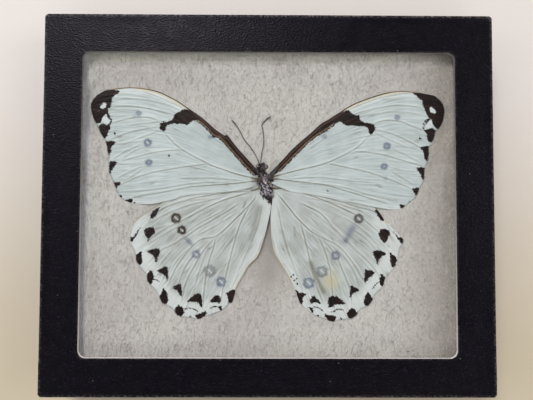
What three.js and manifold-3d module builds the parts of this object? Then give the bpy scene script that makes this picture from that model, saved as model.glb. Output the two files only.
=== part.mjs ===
// A framed butterfly. A pale butterfly with dark spots lies on a pad of batting in a shallow black
// card box, under a pane of glass that sits behind the window of the box's lid.
// Millimetres. The box lies on its back: +X runs across it, +Y towards the butterfly's head and
// +Z out through the glass. The origin is the middle of the box's back.

import * as THREE from "three";
import { mergeVertices } from "three/addons/utils/BufferGeometryUtils.js";
import Module from "manifold-3d";

const wasm = await Module();
wasm.setup();

// The box
const boxWidth = 159.1;
const boxHeight = 134.5;
const boxDepth = 19.05;
const cardThickness = 1.4;
const glassThickness = 2;
const windowWidth = 132;
const windowHeight = 107.5;
const windowCorner = 2.7;
const boxCorner = 1.3; // plan radius of the lid's upright edges
const fold = 0.4; // radius of the covering paper's folds
const lidLift = 1.5; // the lid's rim stays this far above the surface under the box
const glassPlay = 0.5; // from the pane's edge to the lid's wall
const gap = 0.3; // between pieces that touch

// The butterfly
const wingThickness = 0.3;
const thorax = { x: -0.95, y: 6.3, width: 5, length: 9.6, depth: 5.2, lean: 12 };
const head = { x: -2.2, y: 13.1, width: 3.2, length: 2.9, depth: 3.2 };
const eye = { radius: 1.05, spread: 1.45, forward: 0.2 };
const palp = { radius: 0.5, length: 2.6, side: -0.5 };
const stub = { radius: 1.6, length: 2.4 };
const antenna = { radius: 0.2, clubRadius: 0.4, clubLength: 4 };
const pocket = { x: -1.25, y: 8, width: 6.8, length: 20.8, room: 0.9 }; // the batting's hollow
const headDrop = 0.2; // the head's top below the thorax's
const wingDrop = 0.75; // the forewings' undersides below the thorax's top

// Heights, worked out from the front of the box to its back
const glassTop = boxDepth - cardThickness - gap;
const glassBottom = glassTop - glassThickness;
const trayTop = glassBottom - gap;
const bodyTop = glassBottom - gap;
const forewingHeight = bodyTop - wingDrop; // undersides of the wings
const hindwingHeight = forewingHeight - wingThickness - gap;
const battingTop = hindwingHeight - gap;
const bodyHeight = bodyTop - thorax.depth / 2; // middle of the thorax
const headHeight = bodyTop - headDrop - head.depth / 2; // middle of the head

// Each wing's outline, as the smooth stretches between its corners
const wingOutlines = {
  forewing_left: [
    [[-3.5, 11.2], [-10.8, 19.4], [-22.4, 29.6], [-36, 38.4], [-49.6, 42], [-59.4, 40.8], [-64.2, 35.3],
      [-62.1, 28.8], [-58.8, 22.4], [-57.3, 13], [-54.8, 4.9], [-49, 0], [-41.2, -0.1]],
    [[-41.2, -0.1], [-30.1, 2.8], [-13.5, 4.4], [-3.6, 6.9]],
  ],
  forewing_right: [
    [[0.5, 11.2], [8.5, 19.5], [19, 29], [30.6, 36], [43.6, 40.5], [56.5, 40.5], [63.6, 34],
      [61.4, 27.4], [58.2, 21], [56.4, 11], [53.2, 2.9], [48, -1.5], [39.3, -1.3]],
    [[39.3, -1.3], [28.7, 0.7], [15.3, 3.4], [1.4, 7.2]],
  ],
  hindwing_left: [
    [[-3.7, 8], [-14, 9], [-28, 6.8], [-39.3, -0.5], [-48.2, -7.5], [-49, -15.5], [-43.4, -27.7],
      [-38.3, -35.2], [-30, -40.5], [-21, -40], [-12.4, -35.3]],
    [[-12.4, -35.3], [-8, -24.5], [-3.6, -17.6], [-0.4, -6.5], [-1.8, -1]],
    [[-1.8, -1], [-3.5, 2.5], [-3.7, 8]],
  ],
  hindwing_right: [
    [[1.6, 7.5], [14, 8.5], [27, 6.5], [38.9, -1.7], [47, -10.5], [47, -18.5], [41.7, -27.5],
      [36.5, -36], [28, -41.3], [19, -40.6], [11.2, -35.5]],
    [[11.2, -35.5], [7.6, -27], [3, -19], [0.9, -7], [2.6, -1]],
    [[2.6, -1], [2.6, 2.5], [1.6, 7.5]],
  ],
};

// Each antenna's path from the head to its club, with its height above the batting
const antennaPaths = {
  antenna_left: [[-3.3, 14.85, 0.6], [-4.7, 17.5, 1], [-6.5, 20.3, 1.1], [-9.8, 24.9, 1], [-13.4, 30.2, 1]],
  antenna_right: [[-2.2, 15.05, 0.6], [-2.3, 18.2, 1], [-1.8, 22.5, 1.1], [-2.4, 28.2, 1], [-1, 30.6, 1],
    [0.8, 31.8, 1]],
};

const colours = {
  card: 0x17171b,
  glass: 0xe8eef0,
  batting: 0xb5b0a8,
  forewing: 0xcbd9d8,
  hindwing: 0xc3cfcd,
  body: 0x33282c,
  antenna: 0x2a2426,
};

function finish(colour, roughness, metalness = 0) {
  return new THREE.MeshStandardMaterial({ color: colour, roughness, metalness });
}

// A rectangle with round corners, centred on the origin
function roundedRectangle(width, height, radius) {
  const x = width / 2;
  const y = height / 2;
  const shape = new THREE.Shape();
  shape.moveTo(-x + radius, -y);
  shape.lineTo(x - radius, -y);
  shape.absarc(x - radius, -y + radius, radius, -Math.PI / 2, 0);
  shape.lineTo(x, y - radius);
  shape.absarc(x - radius, y - radius, radius, 0, Math.PI / 2);
  shape.lineTo(-x + radius, y);
  shape.absarc(-x + radius, y - radius, radius, Math.PI / 2, Math.PI);
  shape.lineTo(-x, -y + radius);
  shape.absarc(-x + radius, -y + radius, radius, Math.PI, 1.5 * Math.PI);
  return shape;
}

// An upright solid of a flat shape from one height to another
function slab(shape, bottom, top, curveSegments = 6) {
  const depth = top - bottom;
  const geometry = new THREE.ExtrudeGeometry(shape, { depth, bevelEnabled: false, curveSegments });
  return geometry.translate(0, 0, bottom);
}

// The same with its upper and lower edges folded round, as paper folds over card
function foldedSlab(shape, bottom, top) {
  const geometry = new THREE.ExtrudeGeometry(shape, {
    depth: top - bottom - 2 * fold,
    bevelThickness: fold,
    bevelSize: fold,
    bevelOffset: -fold,
    bevelSegments: 4,
    curveSegments: 4,
  });
  return geometry.translate(0, 0, bottom + fold);
}

function toSolid(geometry) {
  const bare = geometry.clone();
  bare.deleteAttribute("normal");
  bare.deleteAttribute("uv");
  const merged = mergeVertices(bare, 1e-4);
  const vertProperties = new Float32Array(merged.attributes.position.array);
  const triVerts = new Uint32Array(merged.index.array);
  return new wasm.Manifold(new wasm.Mesh({ numProp: 3, vertProperties, triVerts }));
}

function toGeometry(solid) {
  const mesh = solid.getMesh();
  const geometry = new THREE.BufferGeometry();
  geometry.setAttribute("position", new THREE.BufferAttribute(mesh.vertProperties, 3));
  geometry.setIndex(new THREE.BufferAttribute(mesh.triVerts, 1));
  geometry.computeVertexNormals();
  return geometry;
}

function cut(geometry, ...cutters) {
  return toGeometry(cutters.reduce((solid, cutter) => solid.subtract(toSolid(cutter)), toSolid(geometry)));
}

function join(geometry, ...others) {
  return toGeometry(others.reduce((solid, other) => solid.add(toSolid(other)), toSolid(geometry)));
}

function lidGeometry() {
  const outside = foldedSlab(roundedRectangle(boxWidth, boxHeight, boxCorner), lidLift, boxDepth);
  const inside = slab(
    roundedRectangle(boxWidth - 2 * cardThickness, boxHeight - 2 * cardThickness, boxCorner / 2),
    lidLift - 1,
    boxDepth - cardThickness,
  );
  const opening = slab(
    roundedRectangle(windowWidth, windowHeight, windowCorner),
    boxDepth - 2 * cardThickness,
    boxDepth + 1,
  );
  return cut(outside, inside, opening);
}

function trayGeometry() {
  const width = boxWidth - 2 * (cardThickness + gap);
  const height = boxHeight - 2 * (cardThickness + gap);
  const outside = foldedSlab(roundedRectangle(width, height, boxCorner), 0, trayTop);
  const inside = slab(
    roundedRectangle(width - 2 * cardThickness, height - 2 * cardThickness, boxCorner / 2),
    cardThickness,
    boxDepth,
  );
  return cut(outside, inside);
}

function glassGeometry() {
  const width = boxWidth - 2 * (cardThickness + glassPlay);
  const height = boxHeight - 2 * (cardThickness + glassPlay);
  return new THREE.BoxGeometry(width, height, glassThickness).translate(0, 0, glassTop - glassThickness / 2);
}

// The pad fills the tray and has a pocket that the butterfly's body sinks into
function battingGeometry() {
  const wall = 2 * cardThickness + 2 * gap;
  const pad = slab(
    roundedRectangle(boxWidth - 2 * wall, boxHeight - 2 * wall, boxCorner),
    cardThickness + gap,
    battingTop,
  );
  const hollow = new THREE.Shape();
  const lean = THREE.MathUtils.degToRad(thorax.lean);
  hollow.absellipse(pocket.x, pocket.y, pocket.width / 2, pocket.length / 2, 0, 2 * Math.PI, false, lean);
  return cut(pad, slab(hollow, bodyTop - thorax.depth - pocket.room, boxDepth, 24));
}

function wingGeometry(stretches, height) {
  const shape = new THREE.Shape();
  shape.moveTo(...stretches[0][0]);
  for (const stretch of stretches) {
    shape.splineThru(stretch.slice(1).map(([x, y]) => new THREE.Vector2(x, y)));
  }
  return slab(shape, height, height + wingThickness, 4);
}

// A ball squashed to three sizes
function ball(width, length, depth) {
  return new THREE.SphereGeometry(0.5, 20, 14).rotateX(Math.PI / 2).scale(width, length, depth);
}

function thoraxGeometry() {
  return ball(thorax.width, thorax.length, thorax.depth)
    .rotateZ(THREE.MathUtils.degToRad(thorax.lean))
    .translate(thorax.x, thorax.y, bodyHeight);
}

function headGeometry() {
  const eyes = [-1, 1].map((side) =>
    new THREE.SphereGeometry(eye.radius, 14, 10).translate(side * eye.spread, eye.forward, 0));
  const palps = new THREE.ConeGeometry(palp.radius, palp.length, 8)
    .translate(palp.side, head.length / 2 + palp.length / 4, 0);
  return join(ball(head.width, head.length, head.depth), ...eyes, palps)
    .translate(head.x, head.y, headHeight);
}

// A blunt cone that points down the body's axis from the thorax's end
function stubGeometry() {
  const profile = [
    [0, 0],
    [stub.radius * 0.8, 0],
    [stub.radius, stub.length * 0.15],
    [stub.radius * 0.75, stub.length * 0.5],
    [stub.radius * 0.3, stub.length * 0.85],
    [0, stub.length],
  ].map(([radius, along]) => new THREE.Vector2(radius, along));
  const lean = THREE.MathUtils.degToRad(thorax.lean);
  const start = thorax.length / 2 + gap;
  return new THREE.LatheGeometry(profile, 16)
    .rotateZ(Math.PI)
    .translate(0, -start, 0)
    .rotateZ(lean)
    .translate(thorax.x, thorax.y, bodyHeight);
}

// A thin round stalk along its path, with a long club at the tip
function antennaGeometry(points) {
  const places = points.map(([x, y, z]) => new THREE.Vector3(x, y, battingTop + z));
  const path = new THREE.CatmullRomCurve3(places);
  const section = new THREE.Shape().absarc(0, 0, antenna.radius, 0, 2 * Math.PI);
  const stalk = new THREE.ExtrudeGeometry(section, { extrudePath: path, steps: 20, curveSegments: 6 });
  const tip = path.getPointAt(1);
  const direction = path.getTangentAt(1);
  const club = new THREE.SphereGeometry(1, 10, 8)
    .scale(antenna.clubRadius, antenna.clubLength / 2, antenna.clubRadius)
    .applyQuaternion(new THREE.Quaternion().setFromUnitVectors(new THREE.Vector3(0, 1, 0), direction))
    .translate(tip.x, tip.y, tip.z)
    .translate(...direction.clone().multiplyScalar(-antenna.clubLength / 2 + antenna.radius).toArray());
  return join(stalk, club);
}

const framedButterfly = new THREE.Group();

function place(name, geometry, material) {
  const mesh = new THREE.Mesh(geometry, material);
  mesh.name = name;
  framedButterfly.add(mesh);
}

place("tray", trayGeometry(), finish(colours.card, 0.6));
place("lid", lidGeometry(), finish(colours.card, 0.55));
place("glass", glassGeometry(), finish(colours.glass, 0.03));
place("batting", battingGeometry(), finish(colours.batting, 1));
for (const [name, stretches] of Object.entries(wingOutlines)) {
  const front = name.startsWith("forewing");
  const height = front ? forewingHeight : hindwingHeight;
  place(name, wingGeometry(stretches, height), finish(front ? colours.forewing : colours.hindwing, 0.7));
}
place("thorax", thoraxGeometry(), finish(colours.body, 0.8));
place("head", headGeometry(), finish(colours.body, 0.6));
place("abdomen_stub", stubGeometry(), finish(colours.body, 0.8));
for (const [name, points] of Object.entries(antennaPaths)) {
  place(name, antennaGeometry(points), finish(colours.antenna, 0.5));
}

export default framedButterfly;
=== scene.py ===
import math

import bpy
import numpy as np
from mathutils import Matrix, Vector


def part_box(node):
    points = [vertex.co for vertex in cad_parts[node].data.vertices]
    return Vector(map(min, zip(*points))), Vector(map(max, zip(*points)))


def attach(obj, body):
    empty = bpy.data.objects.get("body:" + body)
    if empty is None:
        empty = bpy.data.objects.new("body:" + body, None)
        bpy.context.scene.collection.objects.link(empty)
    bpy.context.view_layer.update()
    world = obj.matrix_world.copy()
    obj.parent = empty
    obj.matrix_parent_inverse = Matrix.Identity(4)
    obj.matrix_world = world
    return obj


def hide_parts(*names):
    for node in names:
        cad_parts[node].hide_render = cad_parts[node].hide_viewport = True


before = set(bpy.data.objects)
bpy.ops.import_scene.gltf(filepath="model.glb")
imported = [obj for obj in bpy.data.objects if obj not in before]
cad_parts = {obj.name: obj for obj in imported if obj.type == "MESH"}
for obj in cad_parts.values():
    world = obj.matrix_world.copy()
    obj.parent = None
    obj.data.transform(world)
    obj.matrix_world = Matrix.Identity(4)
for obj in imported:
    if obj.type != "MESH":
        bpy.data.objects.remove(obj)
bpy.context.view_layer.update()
mm = 0.001  # every size below is in millimetres until a mesh is written
print("frame loaded:", len(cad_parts), "nodes")


def unit(vectors):
    # each vector divided by its own length
    return vectors / np.maximum(np.linalg.norm(vectors, axis=-1, keepdims=True), 1e-9)


def smoothStep(low, high, value):
    # 0 below low, 1 above high and 3t^2 - 2t^3 between them
    t = np.clip((value - low) / (high - low), 0, 1)
    return t * t * (3 - 2 * t)


def lumps(points, size, seed, waves=24):
    # an uneven field of about one unit: the sum of cos(k.p + a), k of length 2 pi / size, a drawn from seed
    rng = np.random.default_rng(seed)
    way = unit(rng.normal(size=(waves, points.shape[-1])))
    k = way * rng.uniform(0.6, 1.5, (waves, 1)) * 2 * math.pi / size
    return np.cos(points @ k.T + rng.uniform(0, 2 * math.pi, waves)).sum(-1) * math.sqrt(2 / waves)


def bell(distance, width):
    # exp(-(distance / width)^2)
    return np.exp(-((distance / width) ** 2))


def distanceTo(xy, place):
    return np.linalg.norm(xy - place, axis=1)


def boxOf(node):
    # the node's lowest and highest corner
    return [np.array(corner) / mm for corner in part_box(node)]


def curveThrough(points, count):
    # a cubic through every point, with half the chord between its neighbours as slope, read at even lengths
    p = np.asarray(points, float)
    p = np.vstack([2 * p[0] - p[1], p, 2 * p[-1] - p[-2]])
    t = np.linspace(0, 1, 16, endpoint=False)[None, :, None]
    a, b, c, d = (p[i:len(p) - 3 + i, None] for i in range(4))
    fine = 0.5 * (2 * b + (c - a) * t + (2 * a - 5 * b + 4 * c - d) * t**2 + (3 * b - a - 3 * c + d) * t**3)
    fine = np.vstack([fine.reshape(-1, p.shape[1]), p[-2]])
    length = np.r_[0, np.cumsum(np.linalg.norm(np.diff(fine, axis=0), axis=1))]
    at = np.linspace(0, length[-1], count)
    return np.column_stack([np.interp(at, length, fine[:, k]) for k in range(fine.shape[1])])


def distanceToLine(xy, line):
    # the least length of p - (a + t(b - a)) over the line's stretches, with t held between 0 and 1
    line = np.asarray(line, float)
    step = np.diff(line, axis=0)
    away = xy[:, None] - line[None, :-1]
    t = np.clip((away * step).sum(2) / np.maximum((step**2).sum(1), 1e-12), 0, 1)
    return np.linalg.norm(away - t[..., None] * step, axis=2).min(1)


def distanceToEnds(xy, path):
    # the least distance to the path's first or last point
    return np.minimum(distanceTo(xy, path[0]), distanceTo(xy, path[-1]))


def insideDistance(xy, outline):
    # distance to the outline, positive where a ray to the right crosses it an odd number of times
    ring = np.vstack([outline, outline[:1]]).astype(float)
    a, b = ring[:-1], ring[1:]
    x, y = xy[:, :1], xy[:, 1:]
    rise = np.where(a[:, 1] == b[:, 1], 1e-9, b[:, 1] - a[:, 1])
    crossing = ((a[:, 1] > y) != (b[:, 1] > y)) & (x < a[:, 0] + (y - a[:, 1]) * (b[:, 0] - a[:, 0]) / rise)
    return distanceToLine(xy, ring) * np.where(crossing.sum(1) % 2, 1, -1)


def insideNear(xy, outline, reach=2.0):
    # insideDistance to the smooth closed curve through the points, and -reach farther off than reach
    ring = np.array(outline, float)
    near = ((xy > ring.min(0) - reach) & (xy < ring.max(0) + reach)).all(1)
    distance = np.full(len(xy), -reach)
    curve = curveThrough(np.vstack([ring, ring[:1]]), 6 * len(ring))[:-1]
    distance[near] = np.maximum(insideDistance(xy[near], curve), -reach)
    return distance


def gridFaces(rows, columns, wrapRows=False, wrapColumns=False):
    # one four-cornered face for each cell of a grid that is stored row by row
    i = np.arange(rows if wrapRows else rows - 1)[:, None]
    j = np.arange(columns if wrapColumns else columns - 1)[None]
    nextI, nextJ = (i + 1) % rows, (j + 1) % columns
    cell = [i * columns + j, i * columns + nextJ, nextI * columns + nextJ, nextI * columns + j]
    return np.stack(cell, -1).reshape(-1, 4)


def slab(top, base, rows, columns):
    # two grids of points one over the other, closed by a rim of faces between their borders
    count = rows * columns
    faces = gridFaces(rows, columns)
    index = np.arange(count).reshape(rows, columns)
    border = np.concatenate([index[0, :-1], index[:-1, -1], index[-1, :0:-1], index[:0:-1, 0]])
    after = np.roll(border, -1)
    rim = np.stack([after, border, border + count, after + count], 1)
    return np.vstack([top, base]), [np.vstack([faces, faces[:, ::-1] + count, rim])]


def closeRings(rings):
    # rings of points joined into a skin, with a point at the middle of the first and last ring to close it
    rows, columns = rings.shape[:2]
    poles = np.stack([rings[0].mean(0), rings[-1].mean(0)])
    j = np.arange(columns)
    nextJ = (j + 1) % columns
    last = (rows - 1) * columns
    pole = np.full(columns, rows * columns)
    ends = np.vstack([np.stack([pole, nextJ, j], 1), np.stack([pole + 1, last + j, last + nextJ], 1)])
    return np.vstack([rings.reshape(-1, 3), poles]), [gridFaces(rows, columns, wrapColumns=True), ends]


def sweep(paths, radii, sides, up=(0.0, 0.0, 1.0)):
    # tubes: path + radius (cos a side + sin a over), where side is tangent x up and over is side x tangent
    count, steps = paths.shape[:2]
    tangent = unit(np.gradient(paths, axis=1))
    side = unit(np.cross(tangent, np.asarray(up, float)))
    over = np.cross(side, tangent)
    a = np.arange(sides) * 2 * math.pi / sides
    spoke = side[:, :, None] * np.cos(a)[:, None] + over[:, :, None] * np.sin(a)[:, None]
    vertices = (paths[:, :, None] + radii[..., None, None] * spoke).reshape(-1, 3)
    first = np.arange(count)[:, None] * steps * sides
    quads = gridFaces(steps, sides, wrapColumns=True)[:, ::-1]
    quads = (quads[None] + first[:, None]).reshape(-1, 4)
    ring = np.arange(sides)[None]
    caps = np.vstack([first + ring, first + (steps - 1) * sides + ring[:, ::-1]])
    return vertices, [quads, caps]


def join(shapes):
    # the shapes (vertices, faces, finish number) laid end to end, corners shifted by the vertices before
    vertices, faces, kinds, start = [], [], [], 0
    for points, faceSets, kind in shapes:
        vertices.append(points)
        faces += [f + start for f in faceSets]
        kinds += [np.full(len(f), kind) for f in faceSets]
        start += len(points)
    return np.vstack(vertices), faces, np.concatenate(kinds)


def makePiece(name, shapes, finishes, fields=None, uv=None):
    # joins the shapes into one mesh in metres; fields hold a number a vertex, zero where they leave one out
    vertices, faces, kinds = join(shapes)
    corners = np.concatenate([f.ravel() for f in faces]).astype(np.int32)
    sizes = np.concatenate([np.full(len(f), f.shape[1]) for f in faces])
    mesh = bpy.data.meshes.new(name)
    mesh.vertices.add(len(vertices))
    mesh.vertices.foreach_set("co", (vertices * mm).astype(np.float32).ravel())
    mesh.loops.add(len(corners))
    mesh.loops.foreach_set("vertex_index", corners)
    mesh.polygons.add(len(sizes))
    mesh.polygons.foreach_set("loop_start", np.r_[0, np.cumsum(sizes)[:-1]].astype(np.int32))
    mesh.polygons.foreach_set("material_index", kinds.astype(np.int32))
    mesh.polygons.foreach_set("use_smooth", np.ones(len(sizes), bool))
    for field, values in (fields or {}).items():
        full = np.zeros(len(vertices), np.float32)
        full[:len(values)] = values
        mesh.attributes.new(field, "FLOAT", "POINT").data.foreach_set("value", full)
    if uv is not None:
        full = np.zeros((len(vertices), 2), np.float32)
        full[:len(uv)] = uv
        mesh.uv_layers.new(name="along").data.foreach_set("uv", full[corners].ravel())
    mesh.update(calc_edges=True)
    for finish in finishes:
        mesh.materials.append(finish)
    piece = bpy.data.objects.new(name, mesh)
    bpy.context.collection.objects.link(piece)
    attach(piece, "root")
    print("made", name, len(vertices), "vertices")
    return piece


class Finish:
    # a material while it is wired up; each method adds one node and hands back the socket that it fills
    def __init__(self, name):
        self.material = bpy.data.materials.new(name)
        self.material.use_nodes = True
        self.tree = self.material.node_tree
        self.tree.nodes.clear()
        self.shader = self.node("BsdfPrincipled")
        self.output = self.node("OutputMaterial", Surface=self.shader.outputs[0])
        self.place = self.node("TexCoord").outputs["Object"]

    def node(self, kind, settings=None, **inputs):
        made = self.tree.nodes.new("ShaderNode" + kind)
        for key, value in (settings or {}).items():
            setattr(made, key, value)
        self.feed(made, inputs)
        return made

    def feed(self, node, inputs):
        for key, value in inputs.items():
            socket = node.inputs[int(key[1:])] if key[0] == "_" else node.inputs[key]
            if isinstance(value, bpy.types.NodeSocket):
                self.tree.links.new(value, socket)
            else:
                socket.default_value = value

    def shade(self, **inputs):
        self.feed(self.shader, {key.replace("_", " "): value for key, value in inputs.items()})

    def stretch(self, scale, turn=0.0, source=None):
        turned = self.node("Mapping", _0=source or self.place, _2=(0, 0, turn)).outputs[0]
        return self.node("Mapping", _0=turned, _3=scale).outputs[0]

    def along(self):
        return self.node("UVMap", {"uv_map": "along"}).outputs[0]

    def field(self, name):
        return self.node("Attribute", {"attribute_name": name}).outputs["Fac"]

    def noise(self, size=1.0, source=None, detail=3.0, rough=0.5):
        inputs = dict(Scale=1 / (size * mm), Detail=detail, Roughness=rough)
        return self.node("TexNoise", Vector=source or self.place, **inputs).outputs["Fac"]

    def streaks(self, scale, source, detail=3.0):
        stretched = self.stretch(scale, source=source)
        return self.node("TexNoise", Vector=stretched, Scale=1.0, Detail=detail).outputs["Fac"]

    def cells(self, size=1.0, source=None, feature="F1"):
        inputs = dict(Vector=source or self.place, Scale=1 / (size * mm))
        return self.node("TexVoronoi", {"feature": feature}, **inputs).outputs["Distance"]

    def calc(self, operation, a, b=0.0):
        return self.node("Math", {"operation": operation}, _0=a, _1=b).outputs[0]

    def span(self, value, low, high, to=(0.0, 1.0)):
        settings = {"interpolation_type": "SMOOTHSTEP"}
        return self.node("MapRange", settings, _0=value, _1=low, _2=high, _3=to[0], _4=to[1]).outputs[0]

    def times(self, a, b):
        return self.calc("MULTIPLY", a, b)

    def mix(self, share, a, b, blend="MIX"):
        made = self.node("Mix", {"data_type": "RGBA", "blend_type": blend}, _0=share)
        for number, colour in ((6, a), (7, b)):
            linked = isinstance(colour, bpy.types.NodeSocket)
            self.feed(made, {"_%d" % number: colour if linked else (*colour, 1.0)})
        return made.outputs[2]

    def bump(self, height, depth, strength=1.0, under=None):
        inputs = dict(Height=height, Distance=depth * mm, Strength=strength)
        if under:
            inputs["Normal"] = under
        return self.node("Bump", **inputs).outputs[0]


def tone(red, green, blue):
    # a screen colour from 0 to 255 as the linear colour that a shader takes
    c = np.array([red, green, blue]) / 255
    return tuple(float(v) for v in np.where(c <= 0.04045, c / 12.92, ((c + 0.055) / 1.055) ** 2.4))


card = {
    "paper": tone(7, 6, 10),
    "paperLight": tone(12, 11, 17),
    "glintFleck": tone(40, 37, 48),
    "worn": tone(120, 112, 112),
    # the raw board as lit, and the same board in painted shade, which also darkens its fibres
    "raw": tone(236, 230, 228),
    "fibreAndShadeTone": tone(122, 116, 114),
    "grain": 0.55,  # width of one pebble of the paper's grain
    "thickness": 1.4,
    "foldRadius": 0.4,
    "cornerRadius": 1.3,
    "windowRadius": 2.7,
    "window": (66.0, 53.75),  # half of the opening
    "turnIn": 9.0,  # how far the paper of one wall laps round the corner onto the next
    "lap": 0.06,  # thickness of the paper where it laps
    "lip": 0.28,  # radius of the window's upper edge
    "hem": 0.3,  # radius of the walls' lower edge
    "glueLine": 5.0,  # how far in the sheet glued to the back ends
    "glueStep": 0.16,  # how much that sheet lies below the turned-in paper
    "scuff": [(10.6, 58.9), (10.3, 56.8), (10.5, 55.0), (11.4, 54.3), (12.6, 54.5)],
    "scuffTone": (tone(60, 58, 64), tone(120, 116, 120)),
}


def paperFinish():
    # black grained paper: pebbles of two sizes, paler on the folds (wear and painted highlight), pale flecks
    # painted as glints, and a few flecks of lint
    paper = Finish("black grained paper")
    pebbles = paper.cells(card["grain"], paper.stretch((0.7, 1.25, 1.0)), "SMOOTH_F1")
    wrinkle = paper.noise(card["grain"] * 0.7, detail=2.0)
    colour = paper.mix(paper.noise(30.0, detail=2.0), card["paper"], card["paperLight"])
    # pale flecks painted as glints of the grain
    glintFlecks = paper.noise(card["grain"], paper.stretch((0.55, 1.3, 1.0)), 4.0, 0.65)
    colour = paper.mix(paper.span(glintFlecks, 0.54, 0.7, (0.0, 0.75)), colour, card["glintFleck"])
    # the folds are paled with the worn tone: wear, and painted highlight where they catch the light
    rubbedAndHighlit = paper.times(paper.field("fold"), paper.span(paper.noise(0.8, detail=4.0), 0.4, 0.68))
    colour = paper.mix(paper.times(rubbedAndHighlit, 0.75), colour, card["worn"])
    lint = paper.span(paper.cells(5.5), 0.035, 0.06, (0.42, 0.0))
    colour = paper.mix(lint, colour, card["worn"])
    rough = paper.span(paper.noise(4.0), 0.3, 0.7, (0.33, 0.44))
    relief = paper.bump(pebbles, 0.13, 0.85, paper.bump(wrinkle, 0.08, 0.8))
    paper.shade(Base_Color=colour, Roughness=rough, Normal=relief)
    paper.shade(Specular_IOR_Level=0.14, Specular_Tint=(0.9, 0.84, 1.0, 1.0))
    return paper.material


def cutCardFinish():
    # the cut edge of the card round the window: pale grey board, painted lit along the bottom edge and
    # painted in shade towards the top, with darker fibres here and there
    board = Finish("cut card edge")
    fibre = board.noise(0.4, detail=4.0)
    # painted light and shade: the bare field runs from the lit bottom edge (raw tone) to the shaded top edge
    pale = board.mix(board.field("bare"), card["fibreAndShadeTone"], card["raw"])
    colour = board.mix(board.span(fibre, 0.45, 0.75, (0.0, 0.6)), pale, card["fibreAndShadeTone"])
    board.shade(Base_Color=colour, Roughness=0.8, Normal=board.bump(fibre, 0.05, 0.5))
    return board.material


def scuffFinish():
    # a pale scuff where the grain of the paper is scraped
    scuff = Finish("pale scuff")
    scuff.shade(Base_Color=scuff.mix(scuff.noise(0.5), *card["scuffTone"]), Roughness=0.6)
    return scuff.material


def roundedRectangle(halfX, halfY, radius, stepsX, stepsY, turns):
    # four quarter circles joined by even straight runs, anticlockwise from the top of the right side
    points = []
    centres = np.array([(1, 1), (-1, 1), (-1, -1), (1, -1)]) * (halfX - radius, halfY - radius)
    for k, centre in enumerate(centres):
        angle = np.linspace(k, k + 1, turns) * math.pi / 2
        arc = centre + radius * np.column_stack([np.cos(angle), np.sin(angle)])
        start = np.array([math.cos((k + 1) * math.pi / 2), math.sin((k + 1) * math.pi / 2)]) * radius
        run = np.linspace(arc[-1], centres[(k + 1) % 4] + start, (stepsX, stepsY)[k % 2] + 2)[1:-1]
        points += [arc, run]
    return np.vstack(points)


def profileRun(*stretches):
    # straight stretches ((inset, z), (inset, z), steps) laid end to end, without the last point of each
    return np.vstack([np.linspace(a, b, steps, endpoint=False) for a, b, steps in stretches])


def profileTurn(centre, radius, start, end, steps):
    # an arc (inset, z) = centre + radius (-cos a, sin a), a from start to end in degrees
    a = np.radians(np.linspace(start, end, steps))
    return np.column_stack([centre[0] - radius * np.cos(a), centre[1] + radius * np.sin(a)])


def carry(profile, outer, inner, reach):
    # each profile point (inset, z) runs round at inset / reach of the way to the inner outline
    share = np.clip(profile[:, 0] / reach, 0, 1)[:, None, None]
    flat = outer[None] * (1 - share) + inner[None] * share
    height = np.broadcast_to(profile[:, 1, None], flat.shape[:2])
    return np.concatenate([flat, height[..., None]], 2)


def outwardOf(outline):
    # the outline's normals: the chord between a point's neighbours, turned a quarter to the right
    return unit(np.roll(outline, -1, 0) - np.roll(outline, 1, 0))[:, ::-1] * (1, -1)


def wallLap(points, half, slant):
    # 1 where the paper of the long walls laps onto the short ones, within turnIn + slant z of a corner
    nearCorner = half[1] - np.abs(points[..., 1])
    onShort = np.abs(points[..., 0]) > half[0] - 0.2
    return onShort * smoothStep(0.12, -0.12, nearCorner - card["turnIn"] - slant * points[..., 2])


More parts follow.
